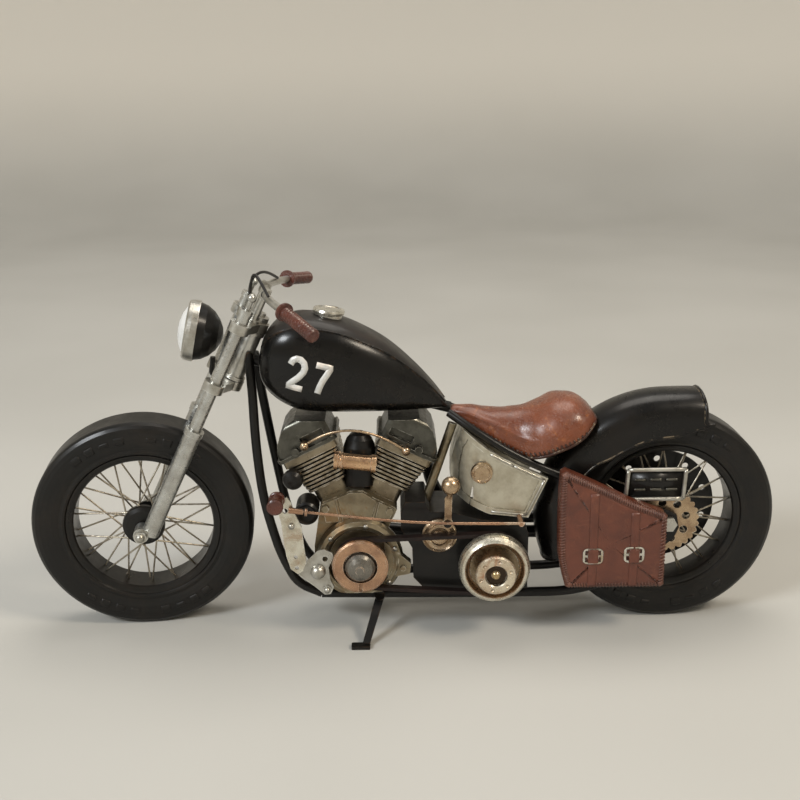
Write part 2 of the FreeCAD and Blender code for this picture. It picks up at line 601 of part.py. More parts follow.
def saddle_bag():
    outline = [(86.6, 98.4), (88.8, 100.0), (107.0, 91.4), (125.0, 82.4), (145.0, 74.4),
               (145.0, 31.0), (90.6, 31.4), (87.0, 45.0), (85.6, 60.0)]
    bag = plate(outline, -36.6, -25.0)
    save("saddle_bag", bag.makeFillet(1.6, [e for e in bag.Edges
                                            if abs(e.BoundBox.YMin + 36.6) < 0.1
                                            and e.BoundBox.YLength < 0.1]))
    buckles = []
    for x, z in ((104.4, 51.4), (127.2, 52.0)):
        frame = block(x - 5.6, x + 5.6, -38.2, -37.0, z - 4.6, z + 4.6)
        hole = block(x - 4.4, x + 4.4, -39, -36, z - 3.4, z + 3.4)
        frame = frame.makeFillet(2.6, [e for e in frame.Edges if e.BoundBox.YLength > 1])
        tongue = block(x - 3.0, x + 3.0, -38.6, -36.6, z - 1.4, z + 2.0)
        buckles.append(fuse(frame.cut(hole), tongue, block(x - 4.6, x + 4.6, -38.0, -37.4,
                                                         z - 0.6, z + 0.6)))
    save("bag_buckles", *buckles)


def number_plate():
    outline = [(124.8, 97.2), (157.0, 97.3), (156.2, 79.5), (123.6, 79.5)]
    board = plate(outline, -24.5, -23.3)
    stalk = block(127.0, 131.0, -24.5, -23.3, 68.0, 84.0)
    save("number_plate", fuse(board, stalk))


# ---- engine -------------------------------------------------------------------------------
def lean(shape, side):
    """Stand a piece on a cylinder's axis: side -1 for the front one, +1 for the rear."""
    placed = shape.copy()
    placed.rotate(V(0, 0, 0), Y_AXIS, side * V_ANGLE)
    placed.translate(V(CRANK_X, 0, CRANK_Z))
    return placed


def rounded_block(half_x, half_y, z0, z1, corner):
    solid = block(-half_x, half_x, -half_y, half_y, z0, z1)
    return solid.makeFillet(corner, [e for e in solid.Edges if e.BoundBox.ZLength > z1 - z0 - 0.01])


FIN_BASE = 39.6
SKIRT_BASE = 30.0
SKIRT_HALF = 9.5
HEAD_BASE = FIN_BASE + FIN_COUNT * FIN_PITCH
HEAD_TOP = HEAD_BASE + 4.3
COVER_TOP = 81.6


def cylinders():
    """Finned barrels with plain skirts and square heads."""
    barrels = []
    for side, name in ((-1, "front_cylinder"), (1, "rear_cylinder")):
        shape = rounded_block(SKIRT_HALF, 13.5, SKIRT_BASE, HEAD_BASE, 3.0)
        for k in range(FIN_COUNT):
            base = FIN_BASE + k * FIN_PITCH
            grow = 3.8 * k / (FIN_COUNT - 1)
            shape = shape.fuse(rounded_block(11.6 + grow, 16.2, base, base + FIN_T, 3.2))
        head = rounded_block(16.4, 17.0, HEAD_BASE, HEAD_TOP, 3.0)
        barrels.append(lean(shape.fuse(head).removeSplitter(), side))
        save(name, barrels[-1])
    return barrels


def rocker_covers():
    """Dark pressed covers, cut flat under the fuel tank, with a lip and a bolt boss."""
    ceiling = block(-120, 80, -60, 60, 125.6, 200)
    shoulder = [(17.5, HEAD_TOP), (17.5, 64.0), (16.4, 68.5), (13.4, 73.5), (9.0, 78.3),
                (4.0, 80.9), (-1.0, COVER_TOP), (-16.6, COVER_TOP), (-16.6, HEAD_TOP)]
    covers = []
    for side in (-1, 1):
        lip = rounded_block(18.3, 18.0, HEAD_TOP, HEAD_TOP + 2.2, 3.4)
        box = rounded_block(17.5, 16.8, HEAD_TOP, COVER_TOP, 4.4)
        rim_edges = [e for e in box.Edges if e.BoundBox.ZMin > COVER_TOP - 0.01]
        box = box.makeFillet(3.6, rim_edges)
        box = box.common(plate([(side * x, z) for x, z in shoulder], -20, 20))
        pocket_x = sorted((side * 1.0, -side * 13.0))
        pocket = block(*pocket_x, -18, -14.8, HEAD_TOP + 4.4, HEAD_TOP + 9.0)
        boss = cross_rod(side * 6.0, HEAD_TOP + 3.6, -19.6, -16.0, 2.2)
        cover = box.fuse(lip).cut(pocket).fuse(boss)
        covers.append(lean(cover.removeSplitter(), side).cut(ceiling))
    save("rocker_covers", *covers)


def crankcase():
    """Case block with ribs and bolts on its near face, and sockets for the two barrels."""
    outline = [(-47.5, 74.0), (-45.9, 78.9), (-37.4, 82.3), (-30.0, 85.5), (-22.8, 85.5),
               (-16.1, 80.8), (-5.0, 75.1), (-3.8, 73.5), (-7.0, 67.0), (-10.5, 58.0),
               (-8.0, 25.0), (-44.0, 25.0), (-51.0, 36.0), (-51.0, 52.0)]
    case = plate(outline, -20.0, 15.0)
    web = plate([(-45.9, 78.4), (-37.4, 81.8), (-30.0, 85.0), (-22.8, 85.0), (-16.1, 80.3),
                 (-5.6, 74.9), (-8.4, 67.4), (-44.0, 67.4)], -22.0, -20.0)
    case = case.fuse(web)
    for (x0, z0), (x1, z1) in (((-38.0, 81.6), (-34.6, 64.0)), ((-14.6, 79.4), (-18.6, 64.0))):
        case = case.fuse(rod(V(x0, -22.0, z0), V(x1, -22.0, z1), 0.9))
    for x, z in ((-44.0, 76.0), (-8.0, 73.8)):
        case = case.fuse(hex_nut(x, -24.0, -19.0, z, 2.2))
    for side in (-1, 1):
        case = case.cut(lean(rounded_block(SKIRT_HALF, 13.5, SKIRT_BASE, 96, 3.0), side))
    case = case.fuse(plate([(-11.4, 57.0), (3.7, 43.1), (3.0, 36.9), (-9.6, 34.0)], -26.0, -20.0))
    case = case.fuse(hex_nut(-0.8, -27.4, -26.0, 40.6, 1.8))
    case = case.cut(rod(*SEAT_POST, FRAME_TUBE_R + 0.3))
    case = max(case.removeSplitter().Solids, key=lambda s: s.Volume)
    save("crankcase", case)
    return case


TIMING = V(-25.2, 0, 45.6)
TIMING_R = 24.6


def timing_cover(case):
    profile = [(2.2, -20.0), (24.2, -20.0), (TIMING_R, -22.6), (23.2, -25.4), (21.0, -26.6),
               (19.0, -26.2), (18.2, -24.4), (17.2, -22.4), (2.2, -22.4)]
    cover = turned_ring(profile, TIMING)
    low = block(-60, 10, -40, 0, 0, 25.5)
    save("timing_cover", cover.cut(low).cut(case))


def manifold():
    """Copper manifold with two collars and a port into each barrel."""
    start = V(-38.3, -22.8, 105.0)
    end = V(-15.1, -22.8, 102.3)
    length = (end - start).Length
    profile = [(0, 0), (5.0, 0), (5.0, 2.2), (4.3, 2.6), (4.3, 3.6), (4.9, 3.9), (4.9, 4.8),
               (4.4, 5.1), (4.4, length - 3.0), (5.0, length - 2.6), (5.0, length), (0, length)]
    pipe = turned_about(profile, start, end - start)
    for port in (start + V(2.6, 0, 0), end - V(2.6, 0, 0)):
        pipe = pipe.fuse(rod(port, port + V(0, 6.4, 0), 3.0))
    save("intake_manifold", pipe.removeSplitter())


def air_cleaner(barrels):
    """Dark domed can that fills the V between the cylinders."""
    dome = turned_about([(0, 0), (9.4, 0), (9.4, 18.0), (8.8, 22.4), (7.2, 26.4), (5.0, 29.0),
                         (2.4, 30.4), (0, 30.8)], V(-24.6, -7.4, 86.0), V(0, 0, 1))
    for barrel in barrels:
        dome = dome.cut(barrel)
    save("air_cleaner", max(dome.Solids, key=lambda s: s.Volume))


def generator(case):
    body = cross_rod(-54.6, 73.4, -21.0, -8.0, 6.6).cut(case)
    body = max(body.Solids, key=lambda s: s.Volume)
    cap = turned_about([(0, 0), (6.8, 0), (6.8, 2.2), (5.6, 3.4), (4.6, 2.8), (2.4, 2.8),
                        (2.2, 4.4), (0, 4.4)], V(-54.6, -21.0, 73.4), V(0, -1, 0))
    save("generator", body, cap)
    horn = turned_about([(0, 0), (5.6, 0), (5.9, 1.2), (5.0, 3.6), (3.0, 5.2), (0, 5.8)],
                        V(-61.6, -20.0, 93.0), V(0.0, -1, 0.2))
    bracket = rod(V(-61.6, -20.0, 93.0), V(-62.0, -8.0, 87.0), 2.0)
    save("horn", fuse(horn, bracket))


def primary_drive():
    """Engine pulley, flat belt and clutch drum on the near side."""
    pulley = turned_ring([(0.01, -25.2), (3.0, -25.2), (3.0, -28.4), (13.2, -28.4), (13.2, -33.4),
                          (15.6, -33.4), (15.9, -34.2), (15.6, -35.6), (14.6, -36.2),
                          (9.6, -36.0), (9.1, -34.6), (8.7, -34.8), (8.2, -37.2), (6.8, -39.0),
                          (4.6, -40.2), (2.6, -40.8), (2.3, -41.6), (0.01, -41.8)], PULLEY)
    slot = block(PULLEY.x - 1.0, PULLEY.x + 1.0, -37.0, -35.0, PULLEY.z - 15.0, PULLEY.z - 10.2)
    save("engine_pulley", pulley.cut(slot))
    drum = turned_ring([(6.2, -25.2), (17.0, -25.2), (17.0, -33.0), (19.6, -33.0), (20.0, -33.6),
                        (20.0, -36.4), (19.4, -38.4), (18.2, -40.0), (17.0, -40.8), (16.2, -40.4),
                        (15.6, -39.2), (14.8, -36.8), (13.8, -36.0), (6.2, -36.0)], CLUTCH)
    save("clutch_drum", drum)
    hub = turned_ring([(2.0, -36.0), (7.0, -36.0), (7.0, -43.2), (10.4, -43.6), (11.3, -44.4),
                       (11.3, -45.8), (10.6, -46.8), (9.2, -47.2), (6.4, -47.2), (5.9, -46.6),
                       (5.9, -45.0), (2.0, -45.0)], CLUTCH)
    for k in range(6):
        angle = math.pi * k / 3 + 0.3
        dimple = Part.makeSphere(1.1, V(CLUTCH.x + 8.6 * math.cos(angle), -47.5,
                                        CLUTCH.z + 8.6 * math.sin(angle)))
        hub = hub.cut(dimple)
    pin = turned_ring([(0.01, -25.2), (3.4, -25.2), (3.4, -36.4), (2.2, -36.4), (2.2, -46.4),
                       (1.6, -47.0), (0.01, -47.0)], CLUTCH)
    save("clutch_hub", fuse(hub, pin))
    belt()


def belt():
    """Belt loop: two half-turns joined by the straight runs."""
    span = math.hypot(CLUTCH.x - PULLEY.x, CLUTCH.z - PULLEY.z)
    tilt = math.atan2(CLUTCH.z - PULLEY.z, CLUTCH.x - PULLEY.x)

    def loop(grow):
        r1 = 13.25 + grow
        r2 = 17.05 + grow
        lean_in = math.asin((r2 - r1) / span)
        up = tilt + math.pi / 2 + lean_in
        down = tilt - math.pi / 2 - lean_in

        def at(centre, radius, angle):
            return V(centre.x + radius * math.cos(angle), -32.8, centre.z + radius * math.sin(angle))

        edges = [Part.LineSegment(at(PULLEY, r1, up), at(CLUTCH, r2, up)).toShape(),
                 Part.Arc(at(CLUTCH, r2, up), at(CLUTCH, r2, tilt), at(CLUTCH, r2, down)).toShape(),
                 Part.LineSegment(at(CLUTCH, r2, down), at(PULLEY, r1, down)).toShape(),
                 Part.Arc(at(PULLEY, r1, down), at(PULLEY, r1, tilt + math.pi),
                          at(PULLEY, r1, up)).toShape()]
        return Part.Face(Part.Wire(edges)).extrude(V(0, 4.4, 0))

    save("primary_belt", loop(2.0).cut(loop(0)))


SHIFT_PIVOT = (24.2, 69.0)


def gearbox():
    """Gear case with the shift lever's pivot stud, and its stepped end cover."""
    outline = [(0.8, 80.0), (12.0, 80.0), (14.6, 74.0), (25.8, 73.8), (44.0, 68.6), (67.0, 66.4),
               (70.0, 60.0), (70.0, 26.0), (12.0, 26.0), (5.0, 34.0), (4.6, 52.0), (-1.8, 64.0),
               (-1.8, 73.4)]
    case = plate(outline, -25.0, 7.0)
    case = case.cut(rod(*SEAT_POST, FRAME_TUBE_R + 0.3))
    stud = fuse(cross_rod(*SHIFT_PIVOT, -31.3, -24.0, 1.0), cross_rod(*SHIFT_PIVOT, -31.3, -30.7, 2.2),
                cross_rod(*SHIFT_PIVOT, -28.7, -24.0, 1.8))
    case = max(case.Solids, key=lambda s: s.Volume).fuse(stud)
    save("gearbox", case.removeSplitter())
    rings = turned_ring([(0.01, -25.0), (9.9, -25.0), (9.9, -26.6), (9.0, -27.2), (8.2, -26.4),
                         (7.2, -26.4), (6.8, -27.4), (5.6, -27.8), (4.8, -27.0), (3.6, -27.0),
                         (3.2, -28.0), (0.01, -28.2)], GEAR_DISC)
    save("gearbox_cover", rings.cut(stud))


def shift_lever():
    """Hand shifter: flat strip with a ball, rocking on a pin in the gearbox's side."""
    pivot_x, pivot_z = SHIFT_PIVOT
    strip = plate([(22.4, 66.4), (26.2, 66.4), (26.8, 86.8), (24.6, 86.8), (22.6, 84.0)],
                  -30.4, -29.0)
    strip = strip.fuse(cross_rod(pivot_x, pivot_z, -30.4, -29.0, 3.0))
    strip = strip.fuse(rod(V(24.8, -29.7, 84.0), V(25.6, -31.6, 89.4), 1.3))
    strip = strip.cut(cross_rod(pivot_x, pivot_z, -32, -28, 1.0 + RUNNING))
    ball = Part.makeSphere(5.2, V(25.8, -32.4, 92.4))
    save("shift_lever", strip.cut(ball).removeSplitter(), ball)


def foot_controls():
    """Riveted foot-control plate, its lower bracket, the peg and the long clutch rod."""
    outline = [(-69.9, 80.1), (-67.5, 85.3), (-64.1, 87.3), (-62.0, 84.1), (-60.6, 78.7),
               (-56.8, 69.7), (-55.9, 58.8), (-54.9, 48.5), (-57.0, 43.0), (-59.9, 41.2),
               (-63.7, 44.3), (-65.9, 52.3), (-67.3, 65.1), (-68.0, 72.9)]
    lever = plate(outline, -33.4, -32.2)
    for x, z, radius in ((-65.5, 79.4, 1.5), (-60.6, 51.6, 1.1), (-60.3, 45.0, 1.1)):
        lever = lever.cut(cross_rod(x, z, -35, -30, radius))
    rivet = cross_rod(-62.3, 70.4, -34.0, -14.0, 1.5)
    save("foot_plate", fuse(lever, rivet))
    low = [(-59.5, 40.1), (-54.4, 48.6), (-48.3, 54.6), (-44.9, 55.4), (-40.5, 53.2),
           (-39.8, 50.8), (-42.8, 44.1), (-41.9, 36.7), (-40.0, 32.3), (-41.9, 28.0),
           (-45.3, 27.7), (-49.6, 31.8)]
    bracket = plate(low, -32.2, -31.0).cut(cross_rod(-44.5, 49.6, -35, -30, 1.6))
    stud = cross_rod(-43.7, 31.1, -33.6, -26.7, 2.4)
    boss = cross_rod(-50.0, 47.0, -31.4, -28.0, 2.6)
    ball = Part.makeSphere(4.4, V(-48.6, -32.6, 42.2))
    save("foot_bracket", fuse(bracket, stud, boss).cut(ball), ball)
    peg = turned_about([(0, 0), (4.4, 0), (4.4, 1.6), (3.9, 2.0), (3.9, 10.4), (4.5, 10.8),
                        (4.5, 12.4), (3.6, 13.0), (0, 13.0)], V(-69.6, -33.4, 86.6), V(0, -1, 0))
    save("foot_peg", peg)
    clutch_rod()


def clutch_rod():
    """Long thin link with a sleeve and collar at the front and a cross pin at each end."""
    front = V(-62.4, -35.0, 80.3)
    middle = V(8.0, -35.0, 71.4)
    rear = V(66.5, -35.0, 70.4)
    along = (middle - front).normalize()
    link = bent_tube([front, middle, rear], 0.8)
    link = link.fuse(rod(front - along, front + along * 7.0, 1.6))
    link = link.fuse(rod(front + along * 8.0, front + along * 9.4, 2.2))
    link = link.fuse(rod(V(64.6, -36.2, 70.4), V(64.6, -24.4, 70.4), 1.4))
    link = link.fuse(rod(front + V(1.4, 0, 0), front + V(1.4, 1.6, 0), 1.2))
    save("clutch_rod", link)


def exhaust():
    """Two header pipes swept down the right side into shotgun tail pipes."""
    front = [V(-60.0, 16.0, 98.0), V(-60.0, 26.0, 92.0), V(-50.0, 27.6, 66.0),
             V(-30.0, 27.6, 44.0), V(20.0, 27.6, 38.0), V(120.0, 28.4, 38.0)]
    rear = [V(12.0, 16.0, 94.0), V(14.0, 26.0, 88.0), V(18.0, 28.0, 68.0), V(34.0, 28.4, 50.0),
            V(70.0, 28.4, 47.6), V(126.0, 28.4, 47.6)]
    pipes = []
    for route in (front, rear):
        pipe = bent_tube(route, 3.8)
        pipes.append(pipe.cut(rod(route[-1], route[-2] + V(14, 0, 0), 3.0)))
    save("exhaust_pipes", *pipes)


# ---- assembly -----------------------------------------------------------------------------
front_wheel()
rear_wheel()
rear_axle()
fork()
steering_head()
handlebar()
headlight()
control_cables()
head_tube()
frame_tubes()
axle_plates()
side_stand()
fuel_tank()
oil_tank()
rear_fender()
saddle()
saddle_bag()
number_plate()
engine_barrels = cylinders()
rocker_covers()
engine_case = crankcase()
timing_cover(engine_case)
manifold()
air_cleaner(engine_barrels)
generator(engine_case)
primary_drive()
gearbox()
shift_lever()
foot_controls()
exhaust()
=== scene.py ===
import math

import bmesh
import bpy
from mathutils import Matrix, Quaternion, Vector


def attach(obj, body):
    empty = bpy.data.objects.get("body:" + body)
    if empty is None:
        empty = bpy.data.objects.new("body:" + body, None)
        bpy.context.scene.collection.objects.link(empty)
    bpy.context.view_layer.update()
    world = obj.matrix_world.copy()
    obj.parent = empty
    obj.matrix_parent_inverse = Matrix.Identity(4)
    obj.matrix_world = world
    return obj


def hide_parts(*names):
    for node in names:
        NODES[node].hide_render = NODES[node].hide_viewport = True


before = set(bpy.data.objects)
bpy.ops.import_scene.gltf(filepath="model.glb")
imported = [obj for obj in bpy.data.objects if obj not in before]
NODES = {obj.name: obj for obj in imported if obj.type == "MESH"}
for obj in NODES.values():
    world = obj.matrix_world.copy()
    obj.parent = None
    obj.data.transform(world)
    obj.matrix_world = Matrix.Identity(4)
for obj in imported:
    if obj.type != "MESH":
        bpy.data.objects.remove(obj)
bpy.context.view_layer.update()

# Looks of a tinplate bobber motorcycle.  Metres, +X to the rear wheel, -Y the side the camera sees.
MM = 0.001


# ---- camera ---------------------------------------------------------------------------------
CAMERA_PLACE = Vector((-5.6, -594.8, 313.9)) * MM
CAMERA_YAW = 0.0074
CAMERA_PITCH = 0.2966
CAMERA_ROLL = 0.013
CAMERA_LENS = 49.5


def make_camera():
    yaw, pitch, roll = CAMERA_YAW, CAMERA_PITCH, CAMERA_ROLL
    level = Vector((math.cos(yaw), -math.sin(yaw), 0))
    rise = Vector((math.sin(yaw) * math.sin(pitch), math.cos(yaw) * math.sin(pitch), math.cos(pitch)))
    right = level * math.cos(roll) - rise * math.sin(roll)
    up = level * math.sin(roll) + rise * math.cos(roll)
    back = right.cross(up)
    data = bpy.data.cameras.new("camera")
    data.lens = CAMERA_LENS
    data.sensor_width = 36
    data.clip_start = 0.01
    data.clip_end = 50
    camera = bpy.data.objects.new("camera", data)
    turn = Matrix((right, up, back)).transposed().to_4x4()
    camera.matrix_world = Matrix.Translation(CAMERA_PLACE) @ turn
    bpy.context.scene.collection.objects.link(camera)
    bpy.context.scene.camera = camera


make_camera()


# ---- materials ------------------------------------------------------------------------------
class Finish:
    """Builds one procedural material; its textures sit in the row frame, in metres."""

    def __init__(self, name, **numbers):
        self.material = bpy.data.materials.new(name)
        self.material.use_nodes = True
        self.tree = self.material.node_tree
        self.shader = self.tree.nodes["Principled BSDF"]
        self.place = self.node("ShaderNodeTexCoord").outputs["Object"]
        for key, value in numbers.items():
            self.shader.inputs[key.replace("_", " ")].default_value = value

    def node(self, kind, **settings):
        made = self.tree.nodes.new(kind)
        for key, value in settings.items():
            setattr(made, key, value)
        return made

    def feed(self, socket, value):
        if isinstance(value, bpy.types.NodeSocket):
            self.tree.links.new(value, socket)
        else:
            socket.default_value = value

    def surface(self, socket, value):
        self.feed(self.shader.inputs[socket], value)

    def noise(self, scale, detail, roughness, distortion=0.0):
        made = self.node("ShaderNodeTexNoise")
        self.feed(made.inputs["Vector"], self.place)
        made.inputs["Scale"].default_value = scale
        made.inputs["Detail"].default_value = detail
        made.inputs["Roughness"].default_value = roughness
        made.inputs["Distortion"].default_value = distortion
        return made.outputs["Fac"]

    def cell_edges(self, scale):
        made = self.node("ShaderNodeTexVoronoi", feature="DISTANCE_TO_EDGE")
        self.feed(made.inputs["Vector"], self.place)
        made.inputs["Scale"].default_value = scale
        return made.outputs["Distance"]

    def combine(self, operation, a, b=0.0):
        made = self.node("ShaderNodeMath", operation=operation)
        self.feed(made.inputs[0], a)
        self.feed(made.inputs[1], b)
        return made.outputs[0]

    def span(self, value, low, high, to_low=0.0, to_high=1.0):
        made = self.node("ShaderNodeMapRange", interpolation_type="SMOOTHSTEP")
        self.feed(made.inputs["Value"], value)
        made.inputs["From Min"].default_value = low
        made.inputs["From Max"].default_value = high
        made.inputs["To Min"].default_value = to_low
        made.inputs["To Max"].default_value = to_high
        return made.outputs["Result"]

    def mix(self, factor, a, b):
        made = self.node("ShaderNodeMix", data_type="RGBA")
        self.feed(made.inputs[0], factor)
        self.feed(made.inputs[6], a)
        self.feed(made.inputs[7], b)
        return made.outputs[2]

    def rubbed_edges(self, radius, breakup):
        """1 along edges, 0 on open faces: how far the bevelled normal leaves the real one."""
        bevel = self.node("ShaderNodeBevel", samples=4)
        bevel.inputs["Radius"].default_value = radius
        dot = self.node("ShaderNodeVectorMath", operation="DOT_PRODUCT")
        self.feed(dot.inputs[0], bevel.outputs["Normal"])
        self.feed(dot.inputs[1], self.node("ShaderNodeNewGeometry").outputs["Normal"])
        return self.combine("MULTIPLY", self.span(dot.outputs["Value"], 0.995, 0.90), breakup)

    def crevices(self, distance):
        """1 in corners that light hardly reaches, 0 in the open."""
        shade = self.node("ShaderNodeAmbientOcclusion", samples=4)
        shade.inputs["Distance"].default_value = distance
        return self.span(shade.outputs["AO"], 0.8, 0.25)

    def ring(self, x, z, inner, outer):
        """1 between two radii about an axis along Y through (x, z), in mm."""
        axes = self.node("ShaderNodeSeparateXYZ")
        self.feed(axes.inputs[0], self.place)
        dx = self.combine("SUBTRACT", axes.outputs["X"], x * MM)
        dz = self.combine("SUBTRACT", axes.outputs["Z"], z * MM)
        squares = self.combine("ADD", self.combine("MULTIPLY", dx, dx),
                               self.combine("MULTIPLY", dz, dz))
        radius = self.combine("SQRT", squares)
        soft = 0.25 * MM
        rise = self.span(radius, inner * MM - soft, inner * MM + soft)
        fall = self.span(radius, outer * MM - soft, outer * MM + soft, 1.0, 0.0)
        return self.combine("MULTIPLY", rise, fall)

    def bump(self, height, distance, strength=1.0):
        made = self.node("ShaderNodeBump")
        made.inputs["Distance"].default_value = distance
        made.inputs["Strength"].default_value = strength
        self.feed(made.inputs["Height"], height)
        self.surface("Normal", made.outputs["Normal"])

    def paint(self, *nodes):
        for name in nodes:
            slots = NODES[name].data.materials
            slots.clear()
            slots.append(self.material)


METAL_GRAIN = 420.0
PAINT_GRAIN = 700.0
LEATHER_PORES = 950.0


def rgb(red, green, blue):
    return (red, green, blue, 1.0)


def aged_metal(name, base, shade, bright, rough, shade_depth=0.7, metallic=0.92, rub=None, bands=()):
    """Cast or plated metal: mottled, with painted shade darkening its corners, brighter along rubbed
    edges.

    bands are (x, z, inner radius, outer radius, colour) rings about an axis along Y, in mm."""
    finish = Finish(name, Metallic=metallic)
    mottle = finish.span(finish.noise(90.0, 6.0, 0.65), 0.35, 0.7)
    colour = finish.mix(mottle, base, shade)
    if rub:
        patches = finish.span(finish.noise(38.0, 5.0, 0.7, 0.6), 0.52, 0.68)
        colour = finish.mix(patches, colour, rub)
    for x, z, inner, outer, tint in bands:
        colour = finish.mix(finish.ring(x, z, inner, outer), colour, tint)
    # painted shade: the colour goes nearly black in corners that light hardly reaches; the same mask
    # also makes them rougher
    shaded_corners = finish.combine("MULTIPLY", finish.crevices(3.5 * MM), shade_depth)
    colour = finish.mix(shaded_corners, colour, rgb(shade[0] * 0.2, shade[1] * 0.18, shade[2] * 0.16))
    chips = finish.span(finish.noise(260.0, 3.0, 0.6), 0.42, 0.6)
    worn = finish.rubbed_edges(0.7 * MM, chips)
    finish.surface("Base Color", finish.mix(worn, colour, bright))
    fine = finish.noise(METAL_GRAIN, 3.0, 0.7)
    spread = finish.span(fine, 0.3, 0.75, rough - 0.07, rough + 0.13)
    dulled = finish.combine("MULTIPLY", shaded_corners, 0.25)
    finish.surface("Roughness", finish.combine("ADD", spread, dulled))
    finish.bump(fine, 0.12 * MM, 0.5)
    return finish


def dark_enamel(name, base, rub, rough, bronze=0.35):
    """Thick black paint over tin, brown where hands have rubbed it through."""
    finish = Finish(name, Coat_Weight=0.22, Coat_Roughness=0.18, Specular_IOR_Level=0.22)
    cloud = finish.span(finish.noise(46.0, 5.0, 0.7), 0.45, 0.75)
    colour = finish.mix(cloud, base, rgb(base[0] * 1.9, base[1] * 1.6, base[2] * 1.4))
    chips = finish.span(finish.noise(190.0, 4.0, 0.7), 0.46, 0.62)
    worn = finish.rubbed_edges(0.8 * MM, chips)
    finish.surface("Base Color", finish.mix(finish.combine("MULTIPLY", worn, bronze), colour, rub))
    finish.surface("Metallic", finish.combine("MULTIPLY", worn, 0.6))
    gloss = finish.noise(60.0, 6.0, 0.7)
    finish.surface("Roughness", finish.span(gloss, 0.3, 0.7, rough - 0.08, rough + 0.12))
    finish.bump(finish.noise(PAINT_GRAIN, 3.0, 0.6), 0.06 * MM, 0.35)
    return finish


def hide_leather(name, base, shade, light, rough, crease=0.5):
    """Glossy dyed leather: pores, soft creases, painted shade in its folds and paler rubbed crowns."""
    finish = Finish(name, Coat_Weight=0.3, Coat_Roughness=0.28)
    cloud = finish.span(finish.noise(55.0, 6.0, 0.68, 0.4), 0.33, 0.7)
    colour = finish.mix(cloud, base, shade)
    rubs = finish.span(finish.noise(120.0, 5.0, 0.75, 1.2), 0.55, 0.72)
    colour = finish.mix(finish.combine("MULTIPLY", rubs, 0.55), colour, light)
    # painted shade: darker colour in folds and corners that light hardly reaches
    fold_shade = finish.combine("MULTIPLY", finish.crevices(3.0 * MM), 0.8)
    colour = finish.mix(fold_shade, colour, rgb(shade[0] * 0.25, shade[1] * 0.2, shade[2] * 0.2))
    finish.surface("Base Color", colour)
    grain = finish.cell_edges(LEATHER_PORES)
    wrinkle = finish.noise(130.0, 5.0, 0.6, 1.5)
    height = finish.combine("ADD", finish.span(grain, 0.0, 0.12, 0.0, 0.5),
                        finish.combine("MULTIPLY", wrinkle, crease * 3))
    finish.surface("Roughness", finish.span(wrinkle, 0.3, 0.7, rough - 0.06, rough + 0.16))
    finish.bump(height, 0.16 * MM, 0.6)
    return finish


BLACK = rgb(0.0050, 0.0045, 0.0040)
BROWN_RUB = rgb(0.20, 0.11, 0.055)
paint_black = dark_enamel("black_paint", BLACK, BROWN_RUB, 0.40)
wheel_black = dark_enamel("wheel_black", rgb(0.0062, 0.0058, 0.0052), rgb(0.12, 0.09, 0.06), 0.34)
tyre_black = dark_enamel("tyre_black", rgb(0.0060, 0.0056, 0.0050), rgb(0.13, 0.085, 0.05), 0.40, 0.25)
cable_black = dark_enamel("cable_black", rgb(0.012, 0.011, 0.010), BROWN_RUB, 0.45, 0.1)
belt_red = dark_enamel("belt_red", rgb(0.0085, 0.0045, 0.0038), rgb(0.05, 0.02, 0.014), 0.6, 0.6)
silver = aged_metal("aged_silver", rgb(0.54, 0.53, 0.49), rgb(0.36, 0.34, 0.29), rgb(0.86, 0.85, 0.80),
                    0.34)
fork_silver = aged_metal("fork_silver", rgb(0.56, 0.56, 0.53), rgb(0.40, 0.39, 0.36),
                         rgb(0.8, 0.8, 0.76), 0.3, shade_depth=0.5)
foil_silver = aged_metal("foil_silver", rgb(0.60, 0.57, 0.47), rgb(0.44, 0.40, 0.31),
                         rgb(0.9, 0.89, 0.84), 0.36, shade_depth=0.6)
cream_silver = aged_metal("cream_silver", rgb(0.74, 0.72, 0.62), rgb(0.48, 0.42, 0.32),
                          rgb(0.95, 0.94, 0.9), 0.3, rub=rgb(0.40, 0.26, 0.16))
chrome = aged_metal("chrome", rgb(0.72, 0.70, 0.62), rgb(0.45, 0.42, 0.35), rgb(0.95, 0.94, 0.9), 0.2,
                    rub=rgb(0.42, 0.33, 0.22))
pewter = aged_metal("pewter", rgb(0.30, 0.255, 0.175), rgb(0.20, 0.165, 0.11),
                    rgb(0.72, 0.68, 0.58), 0.36, rub=rgb(0.26, 0.17, 0.09))
head_bronze = aged_metal("head_bronze", rgb(0.33, 0.28, 0.20), rgb(0.19, 0.155, 0.105),
                         rgb(0.85, 0.80, 0.70), 0.33)
gunmetal = aged_metal("gunmetal", rgb(0.115, 0.112, 0.095), rgb(0.05, 0.048, 0.04),
                      rgb(0.50, 0.48, 0.42), 0.34)
copper = aged_metal("copper", rgb(0.50, 0.30, 0.19), rgb(0.30, 0.17, 0.11), rgb(0.86, 0.70, 0.56), 0.3,
                    rub=rgb(0.55, 0.44, 0.34))
bright_copper = aged_metal("bright_copper", rgb(0.72, 0.48, 0.28), rgb(0.50, 0.30, 0.18),
                           rgb(0.95, 0.82, 0.66), 0.24)
brass = aged_metal("old_brass", rgb(0.50, 0.37, 0.24), rgb(0.28, 0.19, 0.12), rgb(0.88, 0.76, 0.6), 0.28)
spoke = aged_metal("spoke_steel", rgb(0.42, 0.37, 0.29), rgb(0.16, 0.13, 0.10), rgb(0.7, 0.66, 0.56),
                   0.32)
saddle_hide = hide_leather("saddle_hide", rgb(0.185, 0.048, 0.015), rgb(0.105, 0.024, 0.008),
                           rgb(0.42, 0.15, 0.04), 0.26)
bag_hide = hide_leather("bag_hide", rgb(0.130, 0.033, 0.015), rgb(0.080, 0.019, 0.009),
                        rgb(0.20, 0.065, 0.03), 0.34)
grip_hide = hide_leather("grip_hide", rgb(0.105, 0.026, 0.014), rgb(0.05, 0.012, 0.007),
                         rgb(0.2, 0.08, 0.05), 0.24, crease=0.1)
